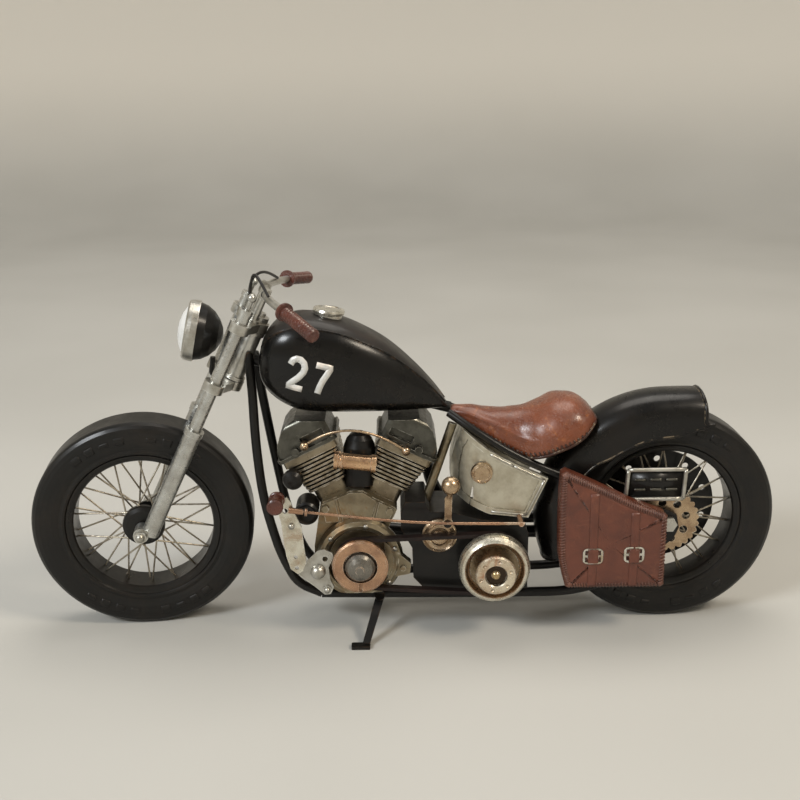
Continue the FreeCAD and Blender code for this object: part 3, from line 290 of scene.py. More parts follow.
lace_dark = dark_enamel("lace_dark", rgb(0.030, 0.012, 0.008), rgb(0.42, 0.32, 0.22), 0.45, 1.0)
stitch_tan = hide_leather("stitch_tan", rgb(0.16, 0.06, 0.035), rgb(0.08, 0.026, 0.016),
                          rgb(0.3, 0.15, 0.09), 0.35, crease=0.1)
white_paint = dark_enamel("white_paint", rgb(0.62, 0.62, 0.60), rgb(0.5, 0.48, 0.44), 0.5, 0.2)
tank_black = dark_enamel("tank_black", rgb(0.0040, 0.0036, 0.0032), rgb(0.24, 0.15, 0.09), 0.26, 0.4)
tank_matte = dark_enamel("tank_matte", rgb(0.016, 0.014, 0.0125), rgb(0.24, 0.16, 0.10), 0.46, 0.4)
fender_black = dark_enamel("fender_black", rgb(0.0045, 0.0040, 0.0036), rgb(0.42, 0.33, 0.22), 0.30,
                           0.75)
pulley_copper = aged_metal("pulley_copper", rgb(0.52, 0.32, 0.20), rgb(0.34, 0.20, 0.13),
                           rgb(0.88, 0.74, 0.60), 0.3,
                           bands=((-24.8, 45.9, -1.0, 9.2, rgb(0.22, 0.205, 0.18)),))
# Both bands are painted shade: a brown ring in the drum's groove and a dark disc in the recess inside
# it.
drum_silver = aged_metal("drum_silver", rgb(0.80, 0.77, 0.66), rgb(0.56, 0.50, 0.40),
                         rgb(0.96, 0.95, 0.9), 0.28, shade_depth=0.5,
                         bands=((50.0, 44.4, 14.2, 16.6, rgb(0.42, 0.27, 0.16)),
                                (50.0, 44.4, -1.0, 14.2, rgb(0.22, 0.17, 0.11))))
hub_silver = aged_metal("hub_silver", rgb(0.74, 0.66, 0.52), rgb(0.50, 0.38, 0.26),
                        rgb(0.95, 0.9, 0.8), 0.3, rub=rgb(0.45, 0.24, 0.14),
                        bands=((50.0, 44.4, 2.4, 6.0, rgb(0.05, 0.035, 0.025)),
                               (50.0, 44.4, -1.0, 2.4, rgb(0.45, 0.33, 0.17))))
lens = aged_metal("lens", rgb(0.92, 0.93, 0.93), rgb(0.80, 0.81, 0.80), rgb(0.95, 0.95, 0.94), 0.34,
                  shade_depth=0.1, metallic=0.35)

paint_black.paint("frame_tubes", "lower_rails", "rear_stays", "axle_plates", "headlight_shell",
                  "side_stand", "gearbox", "air_cleaner", "exhaust_pipes", "generator", "horn")
wheel_black.paint("front_rim", "rear_rim", "front_hub", "rear_hub", "brake_disc")
tyre_black.paint("front_tyre", "rear_tyre")
belt_red.paint("primary_belt")
silver.paint("triple_clamps", "steering_stem", "front_axle", "rear_axle", "handlebar", "head_tube",
             "foot_bracket", "number_plate", "headlight_rim")
fork_silver.paint("fork_sliders", "fork_tubes")
foil_silver.paint("oil_tank")
cream_silver.paint("foot_plate")
drum_silver.paint("clutch_drum")
hub_silver.paint("clutch_hub")
chrome.paint("fuel_cap", "bag_buckles")
pewter.paint("crankcase", "timing_cover", "seat_post")
head_bronze.paint("front_cylinder", "rear_cylinder")
gunmetal.paint("rocker_covers")
pulley_copper.paint("engine_pulley")
copper.paint("clutch_rod")
bright_copper.paint("intake_manifold")
brass.paint("oil_cap", "gearbox_cover", "shift_lever", "rear_sprocket")
spoke.paint("front_spokes", "rear_spokes")
grip_hide.paint("grips", "foot_peg")
lens.paint("headlight_lens")


# ---- mesh helpers: all sizes below are in millimetres ---------------------------------------
def smooth_at(table, x, column=1):
    """Value of a table's column at x, on a smooth curve through its rows."""
    if x <= table[0][0]:
        return table[0][column]
    if x >= table[-1][0]:
        return table[-1][column]
    k = max(n for n in range(len(table) - 1) if table[n][0] <= x)
    lower, upper = table[k], table[k + 1]
    before = table[max(k - 1, 0)]
    after = table[min(k + 2, len(table) - 1)]
    width = upper[0] - lower[0]
    slope_in = (upper[column] - before[column]) / (upper[0] - before[0]) * width
    slope_out = (after[column] - lower[column]) / (after[0] - lower[0]) * width
    t = (x - lower[0]) / width
    return ((2 * t ** 3 - 3 * t ** 2 + 1) * lower[column] + (t ** 3 - 2 * t ** 2 + t) * slope_in
            + (3 * t ** 2 - 2 * t ** 3) * upper[column] + (t ** 3 - t ** 2) * slope_out)


def power_arc(turn, exponent):
    """Point of a unit superellipse."""
    c, s = math.cos(turn), math.sin(turn)
    reach = 2 / exponent
    return (math.copysign(abs(c) ** reach, c), math.copysign(abs(s) ** reach, s))


def add_rows(mesh, rows, closed=False, capped=False):
    """Skin a grid of points; closed joins each row's ends, capped fills the first and last row."""
    rings = [[mesh.verts.new(point) for point in row] for row in rows]
    count = len(rings[0])
    for lower, upper in zip(rings, rings[1:]):
        for k in range(count if closed else count - 1):
            after = (k + 1) % count
            mesh.faces.new((lower[k], lower[after], upper[after], upper[k]))
    if capped:
        mesh.faces.new(rings[0])
        mesh.faces.new(rings[-1])


def add_tube(mesh, path, radius, sides=8):
    """Round bar along a path of points, with closed ends."""
    path = [Vector(point) for point in path]
    rows = []
    side = None
    for k, point in enumerate(path):
        along = (path[min(k + 1, len(path) - 1)] - path[max(k - 1, 0)]).normalized()
        if side is None:
            side = along.orthogonal().normalized()
        side = (side - along * side.dot(along)).normalized()
        other = along.cross(side)
        rows.append([point + side * (radius * math.cos(2 * math.pi * n / sides))
                     + other * (radius * math.sin(2 * math.pi * n / sides))
                     for n in range(sides)])
    add_rows(mesh, rows, closed=True, capped=True)


def piece(name, mesh, finishes, body, replaces=()):
    """Turn a mesh in millimetres into a shaded object that rides on a body."""
    bmesh.ops.recalc_face_normals(mesh, faces=mesh.faces)
    bmesh.ops.scale(mesh, vec=(MM, MM, MM), verts=mesh.verts)
    data = bpy.data.meshes.new(name)
    mesh.to_mesh(data)
    mesh.free()
    data.shade_smooth()
    for finish in finishes:
        data.materials.append(finish.material)
    made = bpy.data.objects.new(name, data)
    bpy.context.scene.collection.objects.link(made)
    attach(made, body)
    if replaces:
        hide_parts(*replaces)
    return made


# ---- fuel tank ------------------------------------------------------------------------------
TANK_SIDE = (
    # x, top z, bottom z
    (-79.2, 155.0, 154.6), (-78.9, 159.2, 150.6), (-78.2, 163.4, 147.2), (-76.4, 169.6, 143.0),
    (-73.0, 175.2, 138.8), (-68.0, 179.8, 134.6), (-62.0, 182.6, 131.2), (-54.0, 183.6, 128.8),
    (-38.0, 181.4, 127.8), (-23.6, 175.8, 127.6), (-7.4, 166.4, 127.6), (8.6, 152.2, 127.8),
    (17.0, 142.4, 127.9), (22.0, 135.6, 128.0), (24.8, 131.2, 128.3), (25.6, 129.3, 128.9))
TANK_PLAN = ((-79.2, 3.0), (-78.6, 9.0), (-76.4, 14.4), (-72.0, 19.0), (-66.0, 21.8), (-58.0, 23.5),
             (-48.0, 24.1), (-40.0, 24.0), (-20.0, 22.0), (0.0, 16.6), (14.0, 10.6), (22.0, 6.4),
             (25.6, 3.0))
TANK_FROM, TANK_TO = -79.2, 25.6
TANK_WAIST = 0.46        # height of the widest line, as a share of the section
TANK_TOP_BEND = 3.0      # superellipse exponents above and below that line
TANK_BELLY_BEND = 2.5
TANK_SEAM = 0.76
SEAM_FROM, SEAM_RUN = -76.5, 100.5
SEAM_POINTS = 70


def tank_section(x):
    top = smooth_at(TANK_SIDE, x, 1)
    bottom = smooth_at(TANK_SIDE, x, 2)
    return top, bottom, bottom + (top - bottom) * TANK_WAIST, smooth_at(TANK_PLAN, x)


def tank_point(x, turn, grow=0.0):
    """A point of the skin; turn runs from the near side (pi) over the top to the far side (0)."""
    top, bottom, middle, half = tank_section(x)
    across, up = power_arc(turn, TANK_TOP_BEND if math.sin(turn) >= 0 else TANK_BELLY_BEND)
    height = top - middle if up >= 0 else middle - bottom
    return Vector((x, (half + grow) * across, middle + (height + grow) * up))


def seam_turn(side):
    """Turn at which the skin is TANK_SEAM of its half width from the centre plane."""
    angle = math.acos(TANK_SEAM ** (TANK_TOP_BEND / 2))
    return math.pi - angle if side < 0 else angle


def tank_side_y(x, z, grow):
    """Y of the near flank at a given x and z."""
    top, bottom, middle, half = tank_section(x)
    up = (z - middle) / ((top - middle) if z >= middle else (middle - bottom))
    exponent = TANK_TOP_BEND if z >= middle else TANK_BELLY_BEND
    return -(half * max(1 - abs(up) ** exponent, 0) ** (1 / exponent) + grow)


def fuel_tank():
    mesh = bmesh.new()
    steps, around = 72, 96
    seams = (seam_turn(1), seam_turn(-1))
    rows = []
    for k in range(steps + 1):
        x = TANK_FROM + (TANK_TO - TANK_FROM) * (1 - math.cos(math.pi * k / steps)) / 2
        rows.append([tank_point(x, 2 * math.pi * n / around) for n in range(around)])
    add_rows(mesh, rows, closed=True, capped=True)
    mesh.faces.ensure_lookup_table()
    for number in range(steps * around):
        turn = 2 * math.pi * ((number % around) + 0.5) / around
        mesh.faces[number].material_index = 1 if seams[0] < turn < seams[1] else 0
    for side in (1, -1):
        line = [tank_point(SEAM_FROM + SEAM_RUN * k / (SEAM_POINTS - 1), seam_turn(side), 0.05)
                for k in range(SEAM_POINTS)]
        add_tube(mesh, line, 0.55)
    piece("tank_shell", mesh, (tank_black, tank_matte), "chassis", ("fuel_tank",))


def stripe(mesh, line, half_width, lay):
    """Thin raised band along an (x, z) line, laid on a surface given by lay(x, z, grow)."""
    rows = []
    for k, (x, z) in enumerate(line):
        x0, z0 = line[max(k - 1, 0)]
        x1, z1 = line[min(k + 1, len(line) - 1)]
        length = math.hypot(x1 - x0, z1 - z0)
        nx, nz = -(z1 - z0) / length * half_width, (x1 - x0) / length * half_width
        rows.append([lay(x - nx, z - nz, 0.02), lay(x - nx, z - nz, 0.16), lay(x, z, 0.20),
                     lay(x + nx, z + nz, 0.16), lay(x + nx, z + nz, 0.02)])
    add_rows(mesh, rows, closed=True, capped=True)


NUMBER_STARTS = (-62.6, -49.4)
NUMBER_BASE = 147.6
NUMBER_FALL = -0.27      # the second digit sits lower by this share of its distance
NUMBER_TILT = math.radians(-15)
DIGIT_WIDE, DIGIT_TALL, DIGIT_LEAN = 8.6, 11.2, 1.5
DIGIT_STROKES = (
    # the tank's number, each digit as lines in a box one unit wide and 1.6 high
    ((0.02, 1.22), (0.14, 1.46), (0.36, 1.58), (0.62, 1.58), (0.86, 1.44), (0.96, 1.20),
     (0.88, 0.94), (0.62, 0.62), (0.30, 0.34), (0.04, 0.06), (0.98, 0.06)),
    ((0.04, 1.52), (0.98, 1.52), (0.80, 1.16), (0.60, 0.80), (0.46, 0.42), (0.38, 0.04)))


def tank_number():
    """Two painted digits that follow the near flank's curve."""
    mesh = bmesh.new()
    c, s = math.cos(NUMBER_TILT), math.sin(NUMBER_TILT)
    for start, strokes in zip(NUMBER_STARTS, DIGIT_STROKES):
        corners = [Vector((u * DIGIT_WIDE + v * DIGIT_LEAN, v * DIGIT_TALL)) for u, v in strokes]
        fine = []
        for a, b in zip(corners, corners[1:]):
            fine += [a.lerp(b, n / 6) for n in range(6)]
        fine.append(corners[-1])
        lift = (start - NUMBER_STARTS[0]) * NUMBER_FALL
        line = [(start + point.x * c + point.y * 0.05,
                 NUMBER_BASE + lift + point.y * c + point.x * s) for point in fine]
        stripe(mesh, line, 1.75, lambda x, z, grow: Vector((x, tank_side_y(x, z, grow), z)))
    piece("tank_number", mesh, (white_paint,), "chassis")


# ---- rear mudguard --------------------------------------------------------------------------
WHEEL_X = 150.0
WHEEL_Z = 62.7
FENDER_FRONT = 201.0     # degrees round the wheel's centre, from +X
FENDER_TAIL = 76.6
FENDER_HALF = 17.4
FENDER_CROWN_DROP = 15.0
FENDER_SHOULDER = 0.62   # share of the way across where the round crown meets the flat side
FENDER_EDGE = ((66.0, 62.6), (67.6, 62.2), (73.0, 57.6), (79.7, 53.9), (86.0, 51.0), (92.0, 50.2),
               (104.0, 50.0), (130.0, 50.6), (143.6, 54.9), (160.0, 56.0), (201.0, 56.0))
FENDER_CROWN = ((70.0, 77.0), (78.0, 75.6), (86.0, 74.3), (94.0, 74.0), (201.0, 74.0))


def fender_point(along, across, inset=0.0):
    """along 0 at the front foot to 1 at the tail; across -1 near edge, 0 crown, 1 far edge."""
    reach = abs(across)
    tail = FENDER_TAIL - 9.0 * reach ** 1.7
    angle = FENDER_FRONT + (tail - FENDER_FRONT) * along
    crown = smooth_at(FENDER_CROWN, angle)
    edge = smooth_at(FENDER_EDGE, angle)
    shoulder = crown - FENDER_CROWN_DROP
    if reach < FENDER_SHOULDER:
        turn = reach / FENDER_SHOULDER * math.pi / 2
        c, s = math.cos(turn) ** 0.86, math.sin(turn) ** 0.86
        y, radius = s * FENDER_HALF, shoulder + FENDER_CROWN_DROP * c
    else:
        drop = (reach - FENDER_SHOULDER) / (1 - FENDER_SHOULDER)
        y, radius = FENDER_HALF - 0.25 * drop, shoulder - (shoulder - edge) * drop
    y -= inset
    radius -= inset * max(0.0, 1 - reach / FENDER_SHOULDER)
    turn = math.radians(angle)
    return Vector((WHEEL_X + radius * math.cos(turn), math.copysign(y, across) if across else 0.0,
                   WHEEL_Z + radius * math.sin(turn)))


def rear_fender():
    mesh = bmesh.new()
    steps, wide = 84, 44
    for inset in (0.0, 1.1):
        rows = [[fender_point(k / steps, -1 + 2 * n / wide, inset) for n in range(wide + 1)]
                for k in range(steps + 1)]
        add_rows(mesh, rows)
    for side in (-1, 1):
        edge = [fender_point(k / steps, side, 0.5) for k in range(steps + 1)]
        add_tube(mesh, edge, 0.85)
    for along, radius in ((0.0, 0.8), (1.0, 1.15)):
        lip = [fender_point(along, -1 + 2 * n / wide, 0.3) for n in range(wide + 1)]
        add_tube(mesh, lip, radius)
    piece("rear_mudguard", mesh, (fender_black,), "chassis", ("rear_fender",))


# ---- saddle ---------------------------------------------------------------------------------
SADDLE_CREST = ((27.0, 128.4), (29.9, 129.0), (38.4, 128.6), (47.0, 127.2), (55.5, 126.5),
                (64.0, 126.9), (72.5, 128.6), (79.2, 131.4), (84.8, 134.0), (90.4, 134.8),
                (96.1, 134.1), (100.7, 131.9), (104.3, 129.2), (106.4, 127.0), (108.0, 124.2))
SADDLE_EDGE = (
    # x, half width, z
    (27.0, 4.0, 124.6), (31.7, 6.0, 122.3), (37.9, 8.2, 118.7), (43.4, 11.0, 116.1),
    (48.8, 13.0, 113.1), (54.2, 15.0, 110.2), (59.7, 15.9, 107.1), (65.0, 17.6, 104.4),
    (70.3, 20.6, 103.8), (75.5, 23.8, 105.2), (80.8, 25.0, 106.8), (86.3, 25.5, 109.2),
    (91.8, 25.1, 111.3), (97.3, 23.6, 114.2), (102.0, 21.0, 117.4), (106.0, 16.4, 121.1),
    (108.0, 12.6, 122.8))
SADDLE_RIDGE = ((32.0, 126.6), (44.0, 123.4), (56.0, 118.8), (66.0, 114.2), (72.0, 112.6))
RIDGE_FROM, RIDGE_TO = 30, 76
SADDLE_FROM, SADDLE_TO = 27.2, 107.9
LACE_RADIUS = 0.95
LACE_STITCHES = 34


def saddle_point(x, across, drop=0.0):
    """across -1 near edge to 1 far edge; drop goes inward from the top skin."""
    crest = smooth_at(SADDLE_CREST, x) - drop
    edge = smooth_at(SADDLE_EDGE, x, 2)
    half = smooth_at(SADDLE_EDGE, x, 1) - drop
    turn = math.pi / 2 * (1 - across)
    c, s = math.cos(turn), max(math.sin(turn), 0.0)
    y = math.copysign(abs(c) ** 0.84, c) * half
    z = edge + (crest - edge) * s ** 0.86
    if drop == 0 and RIDGE_FROM < x < RIDGE_TO:
        fold = math.exp(-((z - smooth_at(SADDLE_RIDGE, x)) / 1.3) ** 2)
        fade = min(1.0, (x - RIDGE_FROM) / 6, (RIDGE_TO - x) / 8)
        y += math.copysign(0.7 * fold * fade, y)
        z += 0.35 * fold * fade
    if drop == 0:
        soft = math.sin(x * 0.42 + 3 * across) * math.sin(across * 5.2 + x * 0.11)
        z += 0.22 * soft * s
    return Vector((x, y, z))


def saddle():
    mesh = bmesh.new()
    steps, wide = 80, 60
    rows = []
    for k in range(steps + 1):
        x = SADDLE_FROM + (SADDLE_TO - SADDLE_FROM) * (1 - math.cos(math.pi * k / steps)) / 2
        top = [saddle_point(x, -1 + 2 * n / wide) for n in range(wide + 1)]
        under = [saddle_point(x, 1 - 2 * n / wide, 2.6) for n in range(wide + 1)]
        rows.append(top + under)
    add_rows(mesh, rows, closed=True, capped=True)
    seat = piece("saddle_leather", mesh, (saddle_hide,), "chassis", ("saddle",))
    lace = bmesh.new()
    for side in (-1, 1):
        edge = [saddle_point(27.6 + 80.0 * k / 90, side, 1.2) + Vector((0, side * 0.9, -0.3))
                for k in range(91)]
        add_tube(lace, edge, LACE_RADIUS)
        laced(lace, lambda t, side=side: saddle_point(28 + 79.4 * t, side * 0.955),
              lambda t, side=side: saddle_point(28 + 79.4 * t, side, 1.2), LACE_STITCHES, 0.55)
    tail = [saddle_point(SADDLE_TO, -1 + 2 * k / 24, 1.2) + Vector((0.2, 0, 0)) for k in range(25)]
    add_tube(lace, tail, LACE_RADIUS)
    nose = [saddle_point(27.3, -1 + 2 * k / 12, 0.6) for k in range(13)]
    add_tube(lace, nose, 0.8)
    piece("saddle_lacing", lace, (lace_dark,), "chassis")


def laced(mesh, upper, lower, count, radius):
    """Whip stitches: short slanted loops over an edge, from upper(t) round to lower(t)."""
    for k in range(count):
        t = (k + 0.25) / count
        over = upper(t)
        under = lower(min(t + 0.45 / count, 1.0))
        outward = (over - under).normalized()
        side = Vector((0, math.copysign(1.0, over.y), 0))
        middle = (over + under) / 2 + side * 0.9 - outward * 0.5
        add_tube(mesh, (over - side * 0.4, over + side * 0.35, middle, under + side * 0.5,
                        under - side * 0.5 - Vector((0, 0, 0.3))), radius, 6)


# ---- saddle bag -----------------------------------------------------------------------------
BAG_OUTLINE = ((86.4, 98.6), (89.0, 100.1), (98.0, 96.0), (107.0, 91.6), (116.0, 87.0),
               (125.0, 82.3), (135.0, 78.2), (143.6, 75.0), (145.0, 73.6), (145.0, 60.0),
               (145.0, 45.0), (145.0, 32.6), (143.6, 31.2), (130.0, 31.2), (116.0, 31.3),
               (103.0, 31.3), (92.0, 31.4), (90.2, 32.4), (88.0, 40.0), (86.2, 50.0),
               (85.8, 62.0), (85.7, 75.0), (85.8, 88.0))
BAG_FACE_Y = -36.5
BAG_FRONT, BAG_LENGTH = 86, 59
BAG_FLOOR = 31
BAG_CENTRE = Vector((114.0, 58.0))
BAG_SHELL = ((1.4, -25.0), (0.3, -25.3), (0.0, -26.4), (0.2, -30.0), (0.0, -34.6),
             (0.35, -35.7), (1.1, -36.4), (2.2, BAG_FACE_Y))
STRAP_PLACES = (104.4, 127.2)
STITCH_COUNT = 170


def bag_top(x):
    """Height of the bag's sloping top edge."""
    return 103 - 0.5 * (x - 84)


def bag_outline(inset):
    """Outline pulled in by inset, following its own normals."""
    points = []
    for a, b in zip(BAG_OUTLINE, BAG_OUTLINE[1:] + BAG_OUTLINE[:1]):
        points += [Vector(a).lerp(Vector(b), n / 4) for n in range(4)]
    total = len(points)
    ring = []
    for k, point in enumerate(points):
        run = (points[(k + 1) % total] - points[k - 1]).normalized()
        ring.append(point + Vector((run.y, -run.x)) * inset)
    return ring


def along_loop(loop, place):
    """Point of a closed loop at a place counted in its own points."""
    before = int(place)
    return loop[before].lerp(loop[(before + 1) % len(loop)], place - before)


def bag_bulge(x, z):
    """How far the stuffed front face stands out."""
    u = min(max((x - BAG_FRONT) / BAG_LENGTH, 0), 1)
    v = min(max((z - BAG_FLOOR) / max(bag_top(x) - BAG_FLOOR, 10), 0), 1)
    fold = math.exp(-((v - 0.86) / 0.05) ** 2) * 0.5
    return 1.3 * (math.sin(math.pi * u) * math.sin(math.pi * v)) ** 0.45 + fold


def strap(mesh, x, half, top, bottom, thick):
    """Flat band down the bag's face, following its bulge."""
    rows = []
    for k in range(31):
        z = top - (top - bottom) * k / 30
        skin = BAG_FACE_Y - bag_bulge(x, z)
        face = skin - thick
        rows.append([Vector((x + across, y, z)) for across, y in (
            (-half, skin + 0.6), (-half + 0.1, face), (-half + 0.6, face - 0.2), (0, face - 0.25),
            (half - 0.6, face - 0.2), (half - 0.1, face), (half, skin + 0.6))])
    add_rows(mesh, rows, closed=True, capped=True)


def saddle_bag():
    mesh = bmesh.new()
    rows = [[Vector((p.x, y, p.y)) for p in bag_outline(inset)] for inset, y in BAG_SHELL]
    rim = bag_outline(BAG_SHELL[-1][0])
    for share in (0.94, 0.86, 0.76, 0.64, 0.50, 0.36, 0.22, 0.08):
        drawn_in = [BAG_CENTRE + (p - BAG_CENTRE) * share for p in rim]
        rows.append([Vector((p.x, BAG_FACE_Y - bag_bulge(p.x, p.y), p.y)) for p in drawn_in])
    add_rows(mesh, rows, closed=True, capped=True)
    bag = piece("leather_bag", mesh, (bag_hide,), "chassis", ("saddle_bag",))
    straps = bmesh.new()
    for x in STRAP_PLACES:
        strap(straps, x, 2.4, bag_top(x) - 4.6, 32.4, 0.28)
        strap(straps, x, 2.9, 55.4, 47.6, 1.5)
    piece("bag_straps", straps, (bag_hide,), "chassis")
    stitches = bmesh.new()
    outer, inner = bag_outline(0.0), bag_outline(3.0)
    for number in range(STITCH_COUNT):
        place = number / STITCH_COUNT * len(outer)
        rim_end = along_loop(outer, place)
        face_end = along_loop(inner, (place + 0.32) % len(inner))
        bend = rim_end * 0.6 + face_end * 0.4
        add_tube(stitches, [Vector((point.x, y, point.y)) for point, y in (
            (face_end, BAG_FACE_Y + 0.1), (face_end, BAG_FACE_Y - 0.35), (bend, BAG_FACE_Y - 0.15),
            (rim_end, -35.2), (rim_end, -33.6))], 0.42, 6)
    piece("bag_stitches", stitches, (stitch_tan,), "chassis")


# ---- small metalwork ------------------------------------------------------------------------
STEER_HEAD = Vector((-88.0, 0.0, 160.0))
RAKE = math.radians(25.7)
REST_TURN = math.radians(5.5)
FRONT_AXLE = Vector((-13.86, 0, -114.3))     # in the fork's axes
STEER_AXIS = Vector((math.sin(RAKE), 0, math.cos(RAKE)))
STEERED = Quaternion(STEER_AXIS, REST_TURN)
TO_FORK = STEERED @ Quaternion((0, 1, 0), RAKE)
FRONT_HUB = STEER_HEAD + TO_FORK @ FRONT_AXLE
REAR_HUB = Vector((WHEEL_X, 0, WHEEL_Z))
BARS_IN_GROUP = 9
BAR_PITCH = 9.5          # degrees
BAR_HALF = 2.9
PLATE_FACE_Y = -24.8
COVER_X, COVER_Z = -25.2, 45.6
COVER_BOLT_RADIUS = 21.2


def sidewall_bars(name, centre, turn, body):
    """Groups of short raised bars on both sidewalls, where a tyre would carry its lettering."""
    mesh = bmesh.new()
    for side in (-1, 1):
        for group in range(2):
            for bar in range(BARS_IN_GROUP):
                steps_off = bar - BARS_IN_GROUP // 2
                if steps_off == 0:
                    continue
                middle = math.radians(90 + 180 * group + steps_off * BAR_PITCH)
                inner, outer = (51.4, 56.2) if bar % 3 else (52.2, 55.2)
                section = ((inner, 12.2), (inner + 0.4, 12.9), (outer - 0.4, 12.98), (outer, 12.4))
                rows = []
                for k in range(7):
                    angle = middle + math.radians(BAR_HALF) * (k / 6 - 0.5) * 2
                    c, s = math.cos(angle), math.sin(angle)
                    rows.append([centre + turn @ Vector((r * c, side * y, r * s))
                                 for r, y in section])
                add_rows(mesh, rows, closed=True, capped=True)
    piece(name, mesh, (tyre_black,), body)


def oil_line():
    """Pipe that arches between banjo bolts on the two cylinders."""
    mesh = bmesh.new()
    start, end = Vector((-54.7, -19.0, 112.3)), Vector((1.6, -19.0, 108.4))
    apex = Vector((-29, -22.4, 125.6))
    bow = Vector((0, -2.2, 4.0))
    path = []
    for k in range(33):
        t = k / 32
        path.append(start * (1 - t) ** 2 + apex * 2 * t * (1 - t) + end * t ** 2
                    + bow * math.sin(math.pi * t))
    add_tube(mesh, path, 0.75)
    for place in (start, end):
        add_tube(mesh, (place + Vector((0, 2.4, 0)), place + Vector((0, -1.6, 0)),
                        place + Vector((0, -2.2, 0))), 2.3, 16)
        add_tube(mesh, (place + Vector((0, -2.2, 0)), place + Vector((0, -3.4, 0))), 1.3, 6)
    piece("oil_line", mesh, (brass,), "chassis")


def plate_front():
    """Raised border and two rows of three plain bars on a dark field."""
    corners = [Vector((x, PLATE_FACE_Y, z))
               for x, z in ((124.9, 97.0), (156.8, 97.1), (156.0, 79.7), (123.8, 79.7))]
    border = bmesh.new()
    for a, b in zip(corners, corners[1:] + corners[:1]):
        add_tube(border, [a.lerp(b, k / 8) for k in range(9)], 1.25, 10)
    piece("plate_border", border, (silver,), "chassis")
    field = bmesh.new()
    inner = ((126.0, 95.8), (155.4, 95.8), (154.8, 81.0), (125.2, 81.0))
    add_rows(field, [[Vector((x, y, z)) for x, z in inner] for y in (-24.3, -24.75)],
             closed=True, capped=True)
    piece("plate_field", field, (wheel_black,), "chassis")
    bars = bmesh.new()
    for x0, x1 in ((128.4, 134.6), (137.2, 143.4), (146.0, 152.4)):
        for z in (85.4, 91.2):
            bar = [Vector((x0 + (x1 - x0) * k / 6, PLATE_FACE_Y, z)) for k in range(7)]
            add_tube(bars, bar, 0.8)
    piece("plate_bars", bars, (gunmetal,), "chassis")


def tank_fittings():
    """The oil tank's pressed rim, the timing cover's screws and two of the foot controls."""
    rim = bmesh.new()
    line = [Vector((x, -24.3, z))
            for x, z in ((48.0, 107.4), (61.2, 100.2), (78.4, 91.8), (68.6, 71.0), (48.8, 73.4))]
    for a, b in zip(line, line[1:]):
        add_tube(rim, [a.lerp(b, k / 6) for k in range(7)], 0.7)
    piece("oil_tank_rim", rim, (silver,), "chassis")
    screws = bmesh.new()
    for k in range(6):
        angle = math.radians(60 * k + 20)
        place = Vector((COVER_X + COVER_BOLT_RADIUS * math.cos(angle), -26.2,
                        COVER_Z + COVER_BOLT_RADIUS * math.sin(angle)))
        if place.z > 27:
            head = (place, place + Vector((0, -1.0, 0)), place + Vector((0, -1.4, 0)))
            add_tube(screws, head, 1.3, 12)
    for x, z in ((-62.3, 70.4), (-43.7, 31.1)):
        add_tube(screws, [Vector((x, y, z)) for y in (-33.2, -34.4, -34.9)], 1.6, 16)
    piece("case_screws", screws, (silver,), "chassis")


def cable(name, node, route, diameter):
    """A control cable along its own control points in the fork's axes."""
    data = bpy.data.curves.new(name, "CURVE")
    data.dimensions = "3D"
    data.bevel_depth = diameter / 2 * MM
    data.bevel_resolution = 4
    data.resolution_u = 16
    data.use_fill_caps = True
    spline = data.splines.new("NURBS")
    spline.points.add(len(route) - 1)
    for point, place in zip(spline.points, route):
        world = (STEER_HEAD + TO_FORK @ Vector(place)) * MM
        point.co = (world.x, world.y, world.z, 1)
    spline.order_u = 3
    spline.use_endpoint_u = True
    data.materials.append(cable_black.material)
    made = bpy.data.objects.new(name, data)
    bpy.context.scene.collection.objects.link(made)
    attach(made, "steering")
    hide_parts(node)


fuel_tank()
tank_number()
rear_fender()
saddle()
saddle_bag()
oil_line()
plate_front()
tank_fittings()
sidewall_bars("front_tyre_bars", FRONT_HUB, STEERED, "front_wheel")
sidewall_bars("rear_tyre_bars", REAR_HUB, Quaternion(), "rear_wheel")
cable("throttle_cable_line", "throttle_cable",
      ((-2.4, -25.0, 41.8), (-8.0, -18.5, 45.6), (-13.6, -12.0, 48.0), (-12.6, -9.4, 41.0),
       (-9.8, -8.2, 33.0), (-8.6, -4.6, 27.0), (-5.6, -2.4, 22.2)), 1.6)
cable("brake_cable_line", "brake_cable",
      ((2.2, 25.0, 42.4), (-3.5, 15.5, 45.4), (-9.5, 4.0, 46.4), (-13.0, -3.6, 42.0),
       (-10.4, -4.4, 33.0), (-8.6, -0.6, 27.0), (-5.6, 2.4, 22.2)), 1.6)


# ---- studio ---------------------------------------------------------------------------------
FLOOR_RADIUS = 1.6
SWEEP_HEIGHT = 2.2


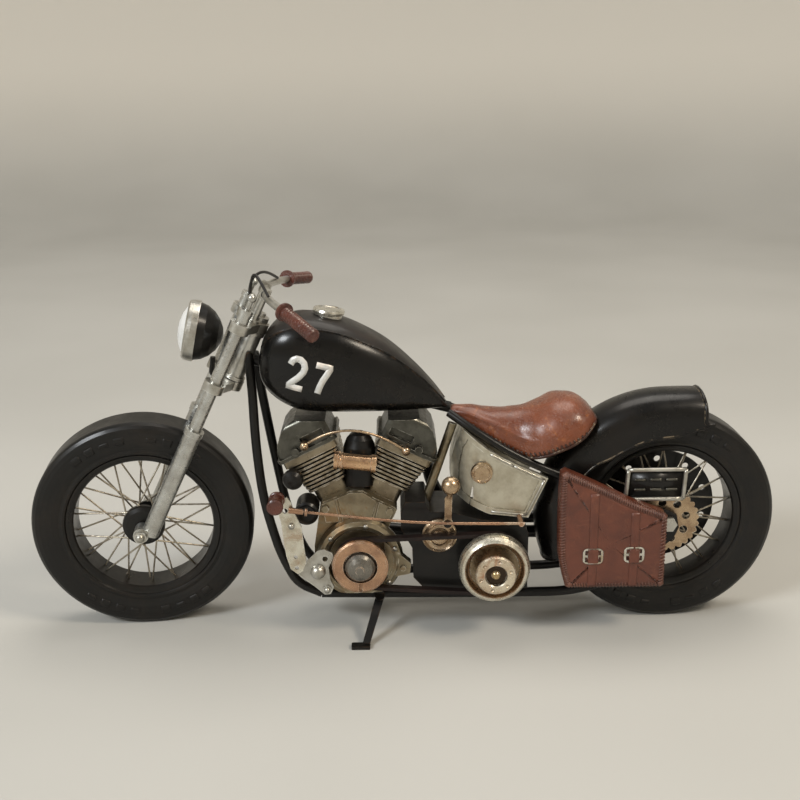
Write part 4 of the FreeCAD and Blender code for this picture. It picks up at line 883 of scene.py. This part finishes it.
def studio_sweep():
    """Round floor that curves up into a wall on every side."""
    steps_round = 96
    profile = [(FLOOR_RADIUS * 0.5, 0.0), (FLOOR_RADIUS, 0.0)]
    for k in range(1, 13):
        angle = math.pi / 2 * k / 12
        profile.append((FLOOR_RADIUS + math.sin(angle), 1.0 - math.cos(angle)))
    profile.append((FLOOR_RADIUS + 1.0, SWEEP_HEIGHT))
    sweep = bmesh.new()
    rings = []
    for radius, height in profile:
        ring = [sweep.verts.new((radius * math.cos(2 * math.pi * k / steps_round),
                                 radius * math.sin(2 * math.pi * k / steps_round), height))
                for k in range(steps_round)]
        rings.append(ring)
    sweep.faces.new(rings[0])
    for lower, upper in zip(rings, rings[1:]):
        for k in range(steps_round):
            after = (k + 1) % steps_round
            sweep.faces.new((lower[after], lower[k], upper[k], upper[after]))
    mesh = bpy.data.meshes.new("studio_sweep")
    sweep.to_mesh(mesh)
    sweep.free()
    mesh.shade_smooth()
    floor = bpy.data.objects.new("studio_sweep", mesh)
    bpy.context.scene.collection.objects.link(floor)
    finish = Finish("studio_card", Roughness=0.85)
    tone = finish.span(finish.noise(3.0, 2.0, 0.5), 0.3, 0.7)
    card = finish.mix(tone, rgb(0.43, 0.425, 0.40), rgb(0.47, 0.465, 0.44))
    axes = finish.node("ShaderNodeSeparateXYZ")
    finish.feed(axes.inputs[0], finish.place)
    # painted light: the card turns paler as it rises into the wall, making up for the lamps lighting the
    # wall less than the floor
    wall = finish.span(axes.outputs["Z"], 0.0, 0.35)
    finish.surface("Base Color", finish.mix(wall, card, rgb(0.74, 0.71, 0.65)))
    floor.data.materials.append(finish.material)


def area_light(name, place, target, size, power, colour):
    data = bpy.data.lights.new(name, "AREA")
    data.shape = "RECTANGLE"
    data.size, data.size_y = size
    data.energy = power
    data.color = colour
    light = bpy.data.objects.new(name, data)
    light.location = place
    light.rotation_mode = "QUATERNION"
    light.rotation_quaternion = (Vector(target) - Vector(place)).to_track_quat("-Z", "Y")
    bpy.context.scene.collection.objects.link(light)


def studio_lights():
    area_light("window", (-1.25, -1.1, 1.25), (0, 0, 0.05), (0.55, 0.45), 25.0, (0.93, 0.97, 1.0))
    area_light("lamp", (1.1, -0.75, 1.5), (0, 0.05, 0.1), (0.5, 0.4), 17.0, (1.0, 0.88, 0.72))
    area_light("ceiling", (0.1, 0.5, 1.9), (0, 0, 0.1), (1.2, 1.0), 15.0, (1.0, 0.94, 0.86))
    world = bpy.data.worlds.new("studio")
    world.use_nodes = True
    background = world.node_tree.nodes["Background"]
    background.inputs["Color"].default_value = rgb(0.95, 0.93, 0.88)
    background.inputs["Strength"].default_value = 0.38
    bpy.context.scene.world = world


studio_sweep()
studio_lights()
bpy.context.scene.view_settings.view_transform = "Standard"
